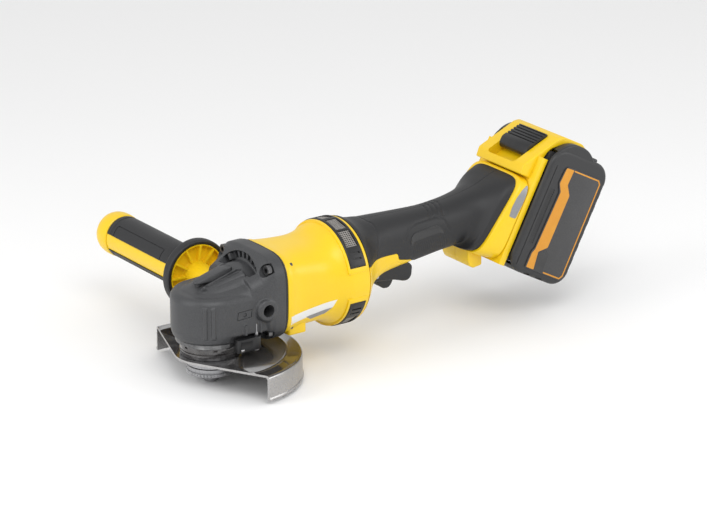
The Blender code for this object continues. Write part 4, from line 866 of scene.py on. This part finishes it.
CONTOUR = ((184.5, 90.0), (186.3, 93.5), (189.0, 98.5), (198.3, 102.0), (221.4, 103.0),
           (227.0, 100.0), (232.6, 89.9))
CREASE = ((153.2, 118.0), (155.3, 110.4), (156.2, 108.7), (156.4, 104.9), (155.2, 98.7),
          (153.5, 91.9), (151.0, 85.0))


def gap_to(path, x, z):
    best = 99.0
    for (x0, z0), (x1, z1) in zip(path, path[1:]):
        dx, dz = x1 - x0, z1 - z0
        f = min(max(((x - x0) * dx + (z - z0) * dz) / (dx * dx + dz * dz), 0), 1)
        best = min(best, math.hypot(x - x0 - dx * f, z - z0 - dz * f))
    return best


def grip_relief(x, y, z):
    """How far the rubber skin sinks at a point of the handle, in millimetres."""
    sink = 0.0
    if abs(y) > 9:
        sink += 0.55 * math.exp(-(gap_to(CREASE, x, z) / 0.9) ** 2)
        if x > 182:
            sink += 0.6 * math.exp(-(gap_to(CONTOUR, x, z) / 0.8) ** 2)
    elif x < 165:
        sink += 0.55 * math.exp(-((x - 153.6) / 0.9) ** 2)
    inside = (smooth_step(x, 191, 194) * (1 - smooth_step(x, 229, 232))
              * smooth_step(z, 71, 73.5) * (1 - smooth_step(z, 84.5, 86.5)))
    if inside > 0 and abs(y) > 6:
        sink += 0.42 * inside * (0.5 + 0.5 * math.cos(2 * math.pi * (x + 0.35 * z) / 2.3))
    if z > 103:
        along = x + 0.26 * abs(y)
        for centre in (218.4, 223.0, 228.0, 232.6):
            sink += 0.7 * math.exp(-((along - centre) / 0.75) ** 2)
    return min(sink, 0.95)


def handle_grip(side, sign):
    rows = dense(HANDLE, 0.9)
    rings = []
    for row in rows:
        ring = handle_rings([row], 0.0, 200)[0]
        zc = row[1]
        new = []
        for px, py, pz in ring:
            d = grip_relief(px, py, pz)
            if d > 0.01:
                r = math.hypot(py, pz - zc)
                py -= py / r * d
                pz -= (pz - zc) / r * d
            new.append((px, py, pz))
        rings.append(new)
    grip = skin("overmould_" + side, rings, 50.0)
    inner = skin("inner", [section_yz(126.0, 70.9, 43.0, 43.0, 2.0)] + core_rings(2.25))
    keep = prism("keep", region(0.0), -60, 60, "XZ")
    combine(grip, "INTERSECT", keep, degrees=50.0)
    cut(grip, half(sign), inner,
        boxes("room", [((49.5, 30.0, 38.4), at(176.75, 0, 59.2))]), degrees=50.0)
    place(grip, "grip_rubber", "housing", "handle_grip_" + side)


def handle_shell(side, sign):
    shell = skin("clamshell_" + side, core_rings(2.5))
    front = skin("front", handle_rings(dense(HANDLE[:11], 2.0)))
    cut(front, prism("groove", region(0.3), -60, 60, "XZ"))
    foot = skin("foot", handle_rings(FOOT))
    tab = prism("tab", round_corners([(253.0, 67.0), (253.2, 56.0), (255.4, 51.2),
                                      (259.0, 49.2), (268.0, 50.4), (268.0, 67.0)], 1.6, 4),
                -19.0, 19.0, "XZ")
    bevel(tab, 1.8, 4)
    add(shell, front, foot, tab)
    inside = [HANDLE[k] for k in (0, 2, 4, 6, 8, 10, 12, 13)]
    cut(shell, half(sign),
        skin("room", [section_yz(120.0, 70.9, 41.0, 41.0, 2.0)] + handle_rings(inside, 5.2)))
    terminal = tilted(boxes("terminal", [((24.0, 32.6, 37.6), at(208.0, 0, 215.5))]))
    cut(shell, boxes("paddle_room", [((49.5, 30.0, 38.4), at(176.75, 0, 59.2))]), terminal,
        rod("pin_seat", 1.6, -17.3, 17.3, 24, "Y", PADDLE_PIN))
    place(shell, "yellow_plastic", "housing", "handle_shell_" + side)


def crescent(sign):
    outline = [(191.3, 84.4), (190.9, 88.0), (191.3, 91.2), (194.2, 93.9), (198.6, 94.8),
               (208.4, 95.6), (218.2, 96.6), (221.9, 95.2), (226.5, 88.8), (225.0, 87.9),
               (222.7, 89.6), (217.5, 89.2), (207.9, 88.5), (198.2, 87.6), (194.4, 86.8),
               (192.6, 84.2)]
    inlay = prism("grip_inlay", round_corners(outline, 0.8, 3), -22.5, -17.0, "XZ")
    shape = skin("inlay_skin", handle_rings([row for row in dense(HANDLE, 4.0)
                                             if 150 < row[0] < 245], -0.28, 128))
    combine(inlay, "INTERSECT", shape)
    if sign > 0:
        inlay.data.transform(Matrix.Scale(-1, 4, (0, 1, 0)))
        inlay.data.flip_normals()
    inlay.name = "grip_inlay_left" if sign > 0 else "grip_inlay_right"
    place(inlay, "badge_black", "housing", slot="black_plastic")


def foot_badge():
    """Blank leaf-shaped plate let into the near side of the battery foot."""
    leaf = [(282.7, 96.9), (286.2, 105.0), (291.4, 112.4), (297.5, 118.0), (303.0, 120.6),
            (304.4, 119.4), (301.1, 112.6), (294.4, 103.0), (288.6, 94.0)]
    badge = prism("foot_badge", round_corners(leaf, 1.6, 4), -44.0, -33.0, "XZ")
    combine(badge, "INTERSECT", skin("foot_skin", handle_rings(FOOT, -0.25)))
    place(badge, "label_grey", "housing", slot="label_film")


def paddle_group():
    outline = [(154.4, 58.4), (155.4, 62.6), (158.4, 65.6), (167.0, 68.0), (180.0, 68.6),
               (193.5, 66.9), (197.4, 63.2), (196.4, 54.0), (193.0, 50.8), (188.4, 50.8),
               (178.4, 54.0), (159.6, 56.0)]
    paddle = prism("squeeze_paddle", round_corners(outline, 2.2, 5), -14.4, 14.4, "XZ")
    bevel(paddle, 1.6, 4)
    cut(paddle, boxes("lock_room", [((23.6, 16.8, 20.0), at(175.2, 0, 54.0))]),
        rod("bore", 1.65, -30, 30, 24, "Y", PADDLE_PIN), rod("bore2", 1.3, -11.6, 11.6, 24, "Y",
               LOCK_OFF_PIN), boxes("grip_lines", [((0.7, 40.0, 1.4), at(188.6 + 1.9 * k, 0, 50.2))
                             for k in range(3)]))
    place(paddle, "black_plastic", "paddle", "paddle")
    tab = [(164.6, 54.4), (165.8, 50.0), (171.2, 45.8), (176.2, 45.5), (179.0, 47.6),
           (182.2, 53.4), (176.4, 59.4), (174.4, 62.2), (171.5, 63.2), (168.6, 62.2),
           (167.4, 59.0)]
    lever = prism("lock_lever", round_corners(tab, 1.6, 5), -8.0, 8.0, "XZ")
    bevel(lever, 0.9, 3)
    add(lever, rod("stub", 1.1, -11.2, 11.2, 20, "Y", LOCK_OFF_PIN))
    place(lever, "black_plastic", "lock_off", "lock_off_lever")


# ---------------------------------------------------------------- battery
def tilt_prism(name, outline, low, high):
    """Side outline in the tilted frame (depth, length), given width across Y."""
    return tilted(prism(name, outline, low, high, "XZ"))


def tilt_box(name, low, high):
    size = [b - a for a, b in zip(low, high)]
    middle = [(a + b) / 2 for a, b in zip(low, high)]
    return tilted(boxes(name, [(size, at(*middle))]))


BUTTON_SLOPE = 21.2
BUTTON_AT = (214.4 * math.cos(TILT) + 280.6 * math.sin(TILT), 0.0,
             -214.4 * math.sin(TILT) + 280.6 * math.cos(TILT))


def button_place():
    return shift(BUTTON_AT) @ rot(-BUTTON_SLOPE, "Y")


def battery_upper():
    outline = [(202.6, 255.5), (201.6, 264.5), (227.6, 297.0), (232.6, 299.8),
               (256.0, 300.0), (262.0, 297.0), (262.0, 290.6), (235.3, 290.6),
               (229.4, 289.4), (224.4, 286.1), (221.1, 281.1), (219.9, 275.2),
               (219.9, 177.0), (213.6, 177.0), (213.6, 255.5)]
    body = tilt_prism("pack_top", round_corners(outline, 1.6, 4), -32.4, 32.4)
    bevel(body, 2.2, 4, 40)
    add(body, tilt_box("plate", (213.6, -38, 177), (219.9, 38, 276)),
        tilt_prism("seat", [(216, 262), (216, 281.6), (228, 296.4), (233, 299.0),
                            (241, 299.2), (241, 262)], -24.0, 24.0))
    bevel(body, 0.7, 2, 50)
    recess = prism("recess", rounded(-21.5, -19.4, 19.5, 19.4, 3.0, 5), -9.6, 12.0)
    recess.data.transform(button_place())
    cut(body, recess)
    place(body, "yellow_plastic", "battery", "battery_upper_housing")


def battery_button():
    profile = [(-8.0, -5.2), (-8.0, -2.0), (-6.4, 0.4), (-3.0, 3.0), (-1.0, 3.4), (2.0, 3.4)]
    for k in range(5):
        s = 2.4 + 3.3 * k
        profile += [(s, 3.4 - 0.1), (s + 0.3, 2.2), (s + 1.1, 2.2), (s + 1.4, 3.3)]
        profile += [(s + 3.0, 3.3)] if k < 4 else []
    profile += [(18.2, 2.9), (18.8, 2.0), (18.8, -5.2)]
    button = prism("release_button", profile, -18.8, 18.8, "XZ")
    bevel(button, 0.35, 2, 30)
    button.data.transform(button_place())
    place(button, "black_plastic", "battery_button", "battery_button")


def battery_lower():
    body = tilt_prism("pack_body", rounded(220.3, 176.8, 289.0, 290.2, 15.6, 12), -43.4, 43.4)
    bevel(body, 3.6, 6, 50)
    cheeks = []
    for sign in (-1, 1):
        cheek = tilt_prism("cheek", rounded(221.4, 240.0, 273.4, 297.6, 24.0, 12),
                           min(sign * 32.9, sign * 42.4), max(sign * 32.9, sign * 42.4))
        bevel(cheek, 1.6, 4, 50)
        cheeks.append(cheek)
    add(body, *cheeks)
    cut(body, tilt_prism("cell_room", rounded(210.0, 180.4, 285.6, 286.6, 3.0, 4),
                         -39.6, 39.6), tilt_box("seat_room", (205, -24.4, 261.6),
                                                (241.4, 24.4, 300)))
    dashes, notches = [], []
    for k in range(26):
        level = 205.0 + 49.0 * k / 25
        for sign in (-1, 1):
            dashes.append(((5.4, 1.1, 0.95), at(233.2, sign * 43.4, level)))
    for sign in (-1, 1):
        for k in range(7):
            notches.append(((2.6, 3.0, 6.6), at(288.4, sign * 41.6, 196.0 + 12.4 * k)))
        for k in range(2):
            notches.append(((7.0, 3.0, 2.4), at(244.0 + 15.0 * k, sign * 41.8, 177.2)))
        dashes.append(((0.7, 1.0, 92.0), at(227.6, sign * 43.5, 229.0)))
    cut(body, tilted(boxes("dashes", dashes)))
    cut(body, tilted(boxes("notches", notches)))
    place(body, "pack_grey", "battery", "battery_lower_housing", slot="black_plastic")
    for k, y in enumerate((-31.2, 31.2)):
        bumper = tilt_prism("bumper_%d" % k, rounded(263.0, 288.6, 275.0, 292.8, 1.6, 4),
                            y - 6.0, y + 6.0)
        bevel(bumper, 0.9, 3)
        place(bumper, "bumper", "battery", slot="black_plastic")
    clip = tilt_prism("top_clip", rounded(264.0, 288.8, 274.0, 291.4, 0.8, 3), -17.0, 17.0)
    bevel(clip, 0.5, 2)
    place(clip, "black_plastic", "battery")


def flat_inlay(name, outline, look, level, depth=0.5, r=1.0):
    """Printed or inlaid field on the near side of the pack, level mm out from Y = 0."""
    inlay = tilt_prism(name, round_corners(outline, r, 3), -level, -(level - depth))
    place(inlay, look, "battery", slot="label_film")


def battery_label():
    outline = [(237.2, 183.0), (237.2, 197.4), (239.4, 201.6), (241.0, 254.2),
               (236.2, 261.0), (237.4, 274.6), (240.0, 277.2), (279.6, 277.4),
               (282.6, 274.0), (283.4, 186.0), (280.4, 182.6)]
    panel = tilt_prism("label_panel", round_corners(outline, 1.4, 4), -44.25, -43.7)
    bevel(panel, 0.2, 2)
    place(panel, "label_film", "battery", "battery_label")
    band = [(238.6, 183.6), (238.6, 197.0), (240.5, 200.5), (242.3, 254.6), (237.5, 261.3),
            (238.6, 276.0), (247.3, 276.4), (246.7, 262.5), (253.4, 254.3), (253.3, 205.8),
            (245.0, 199.6), (247.6, 183.6)]
    flat_inlay("label_band", band, "amber_print", 44.34)
    badge = [(245.6, 199.4), (252.3, 204.0), (257.4, 200.4), (258.2, 183.6), (248.4, 183.6)]
    flat_inlay("label_badge", badge, "badge_black", 44.38, r=0.8)
    outer = [(248.2, 276.4), (278.8, 276.6), (281.8, 273.6), (282.6, 187.0), (279.8, 183.6),
             (259.4, 183.6), (259.4, 184.8), (279.2, 184.8), (281.4, 187.6), (280.6, 273.0),
             (278.2, 275.4), (248.2, 275.2)]
    flat_inlay("label_line", outer, "amber_print", 44.34, r=0.3)


# ---------------------------------------------------------------- side handle
def side_handle():
    centre = (HANDLE_X, 0, HANDLE_Z)
    stud = turned("threaded_stud", [(0, 87.4)] + [p for k in range(24) for p in
                                                  ((5.0, 87.4 - 0.5 * k - 0.05),
                                                   (4.98, 87.4 - 0.5 * k - 0.3))]
                  + [(5.0, 75.0), (5.0, 41.4)]
                  + [p for k in range(9) for p in ((4.4, 40.9 - 1.25 * k), (5.0, 40.3 - 1.25 * k))]
                  + [(4.3, 28.8), (0, 28.8)], 48, "Y", centre)
    place(stud, "machined_steel", "side_handle", "side_handle_stud")
    core = turned("handle_core", [
        (0, 186.0), (15.4, 186.0), (15.4, 84.0), (14.6, 80.0), (14.2, 77.0), (14.8, 75.0),
        (16.4, 73.8), (18.0, 73.6), (26.2, 73.6), (26.2, 71.0), (14.2, 71.0), (12.6, 70.4),
        (11.8, 69.0), (11.0, 62.0), (10.2, 46.0), (9.8, 42.4), (9.0, 41.6), (5.2, 41.6),
        (5.2, 90.4), (0, 90.4)], 96, "Y", centre)
    ribs = []
    for k in range(11):
        ribs.append(((1.7, 4.6, 15.0), at(*centre) @ rot(360 * k / 11 + 8, "Y")
                     @ at(0, 68.9, 18.5)))
    fins = boxes("fins", ribs)
    add(core, fins)
    lip = turned("lip", [(25.2, 71.2), (25.2, 66.8), (26.3, 66.8), (26.3, 71.2)], 96, "Y", centre)
    add(core, lip)
    bevel(core, 0.5, 3, 40)
    strip = []
    for start in (-26.9, 160.6):
        for k in range(13):
            t = math.radians(start + (46.5 if start < 0 else 46.3) * k / 12)
            strip.append((HANDLE_X + 17.7 * math.cos(t), HANDLE_Z + 17.7 * math.sin(t)))
    strip = [(x, min(max(z, HANDLE_Z - 8.0), HANDLE_Z + 6.0)) for x, z in strip]
    band = prism("band", strip, 88.0, 185.8, "XZ")
    add(core, band)
    place(core, "yellow_plastic", "side_handle", "side_handle_core")
    rim = turned("rim_ring", [
        (26.6, 75.2), (28.8, 75.2), (29.8, 74.8), (30.35, 74.0), (30.5, 72.8), (30.5, 68.6),
        (30.3, 67.4), (29.8, 66.6), (29.0, 66.2), (27.8, 66.2), (27.0, 66.5), (26.6, 67.0)],
        128, "Y", centre)
    place(rim, "grip_rubber", "side_handle", "side_handle_rim")
    grip = turned("handle_sleeve", [
        (15.8, 185.6), (17.6, 185.6), (18.3, 185.2), (18.5, 184.4), (18.5, 181.0),
        (18.0, 180.4), (18.0, 179.2), (18.5, 178.6), (18.5, 100.0), (18.4, 95.0),
        (18.1, 91.0), (17.6, 87.0), (16.9, 82.4), (16.4, 79.0), (16.3, 76.4), (16.1, 76.0),
        (15.8, 76.0)], 128, "Y", centre)
    cut(grip, boxes("window", [((80, 102.3, 14.6), at(HANDLE_X, 138.85, HANDLE_Z - 1.0))]))
    dots = []
    for k in range(17):
        for angle in (-148, -133, 48, 33):
            dots.append(((2.2, 2.6, 0.9), at(*centre) @ rot(angle, "Y")
                         @ at(0, 100.0 + 4.6 * k, 18.5)))
    frame_lines = []
    for angle in (-38, -72):
        frame_lines.append(((0.8, 74.0, 1.1), at(*centre) @ rot(angle, "Y") @ at(0, 138.0, 18.5)))
    for along in (101.0, 175.0):
        for k in range(1, 11):
            frame_lines.append(((0.86, 0.8, 1.1), at(*centre) @ rot(-38 - 3.09 * k, "Y")
                                @ at(0, along, 18.5)))
    cut(grip, boxes("dots", dots))
    cut(grip, boxes("frame_lines", frame_lines))
    place(grip, "grip_rubber", "side_handle", "side_handle_grip")
    cap = turned("end_knob", [
        (0, 209.0), (5.0, 208.9), (8.6, 208.5), (12.0, 207.5), (15.0, 205.7), (17.2, 203.2),
        (18.5, 200.0), (19.15, 196.6), (19.3, 193.0), (19.1, 188.4), (18.8, 187.0),
        (18.0, 186.3), (0, 186.3)], 128, "Y", centre)
    place(cap, "yellow_plastic", "side_handle", "side_handle_end_cap")


# ---------------------------------------------------------------- springs
def coil(name, radius, wire, length, turns, base, lean=0.0):
    """Round wire wound into a spring that stands on its base point."""
    per_turn, sides = 24, 8
    rings = []
    for k in range(turns * per_turn + 1):
        t = 2 * math.pi * k / per_turn
        h = wire + (length - 2 * wire) * k / (turns * per_turn)
        ring = []
        for i in range(sides):
            a = 2 * math.pi * i / sides
            r = radius + wire * math.cos(a)
            ring.append((r * math.cos(t), r * math.sin(t), h + wire * math.sin(a)))
        rings.append(ring)
    obj = skin(name, rings)
    obj.data.transform(shift(base) @ rot(lean, "Y"))
    return obj


def springs():
    lock = coil("lock_coil", 3.4, 0.35, 2.9, 3, (12.0, 0, 84.45))
    place(lock, "machined_steel", "housing", "spindle_lock_spring")
    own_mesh(lock)
    lever = coil("paddle_coil", 3.2, 0.4, 10.0, 4, (186.0, 0, 69.1))
    place(lever, "machined_steel", "housing", "paddle_spring")
    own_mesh(lever)
    s, along, down = math.radians(BUTTON_SLOPE), 5.0, 9.4
    base = (BUTTON_AT[0] + along * math.cos(s) + down * math.sin(s), 0,
            BUTTON_AT[2] + along * math.sin(s) - down * math.cos(s))
    button = coil("button_coil", 4.0, 0.4, 3.9, 3, base, -BUTTON_SLOPE)
    place(button, "machined_steel", "battery", "battery_button_spring")
    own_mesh(button)


def build_pieces():
    gear_case()
    knurled_nut()
    guard()
    motor()
    for side, sign in (("left", -1), ("right", 1)):
        handle_shell(side, sign)
        handle_grip(side, sign)
        crescent(-sign)
    foot_badge()
    paddle_group()
    battery_upper()
    battery_button()
    battery_lower()
    battery_label()
    side_handle()
    springs()


build_pieces()
for node_name, node_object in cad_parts.items():
    dress_node(node_name, node_object)
studio()
camera()
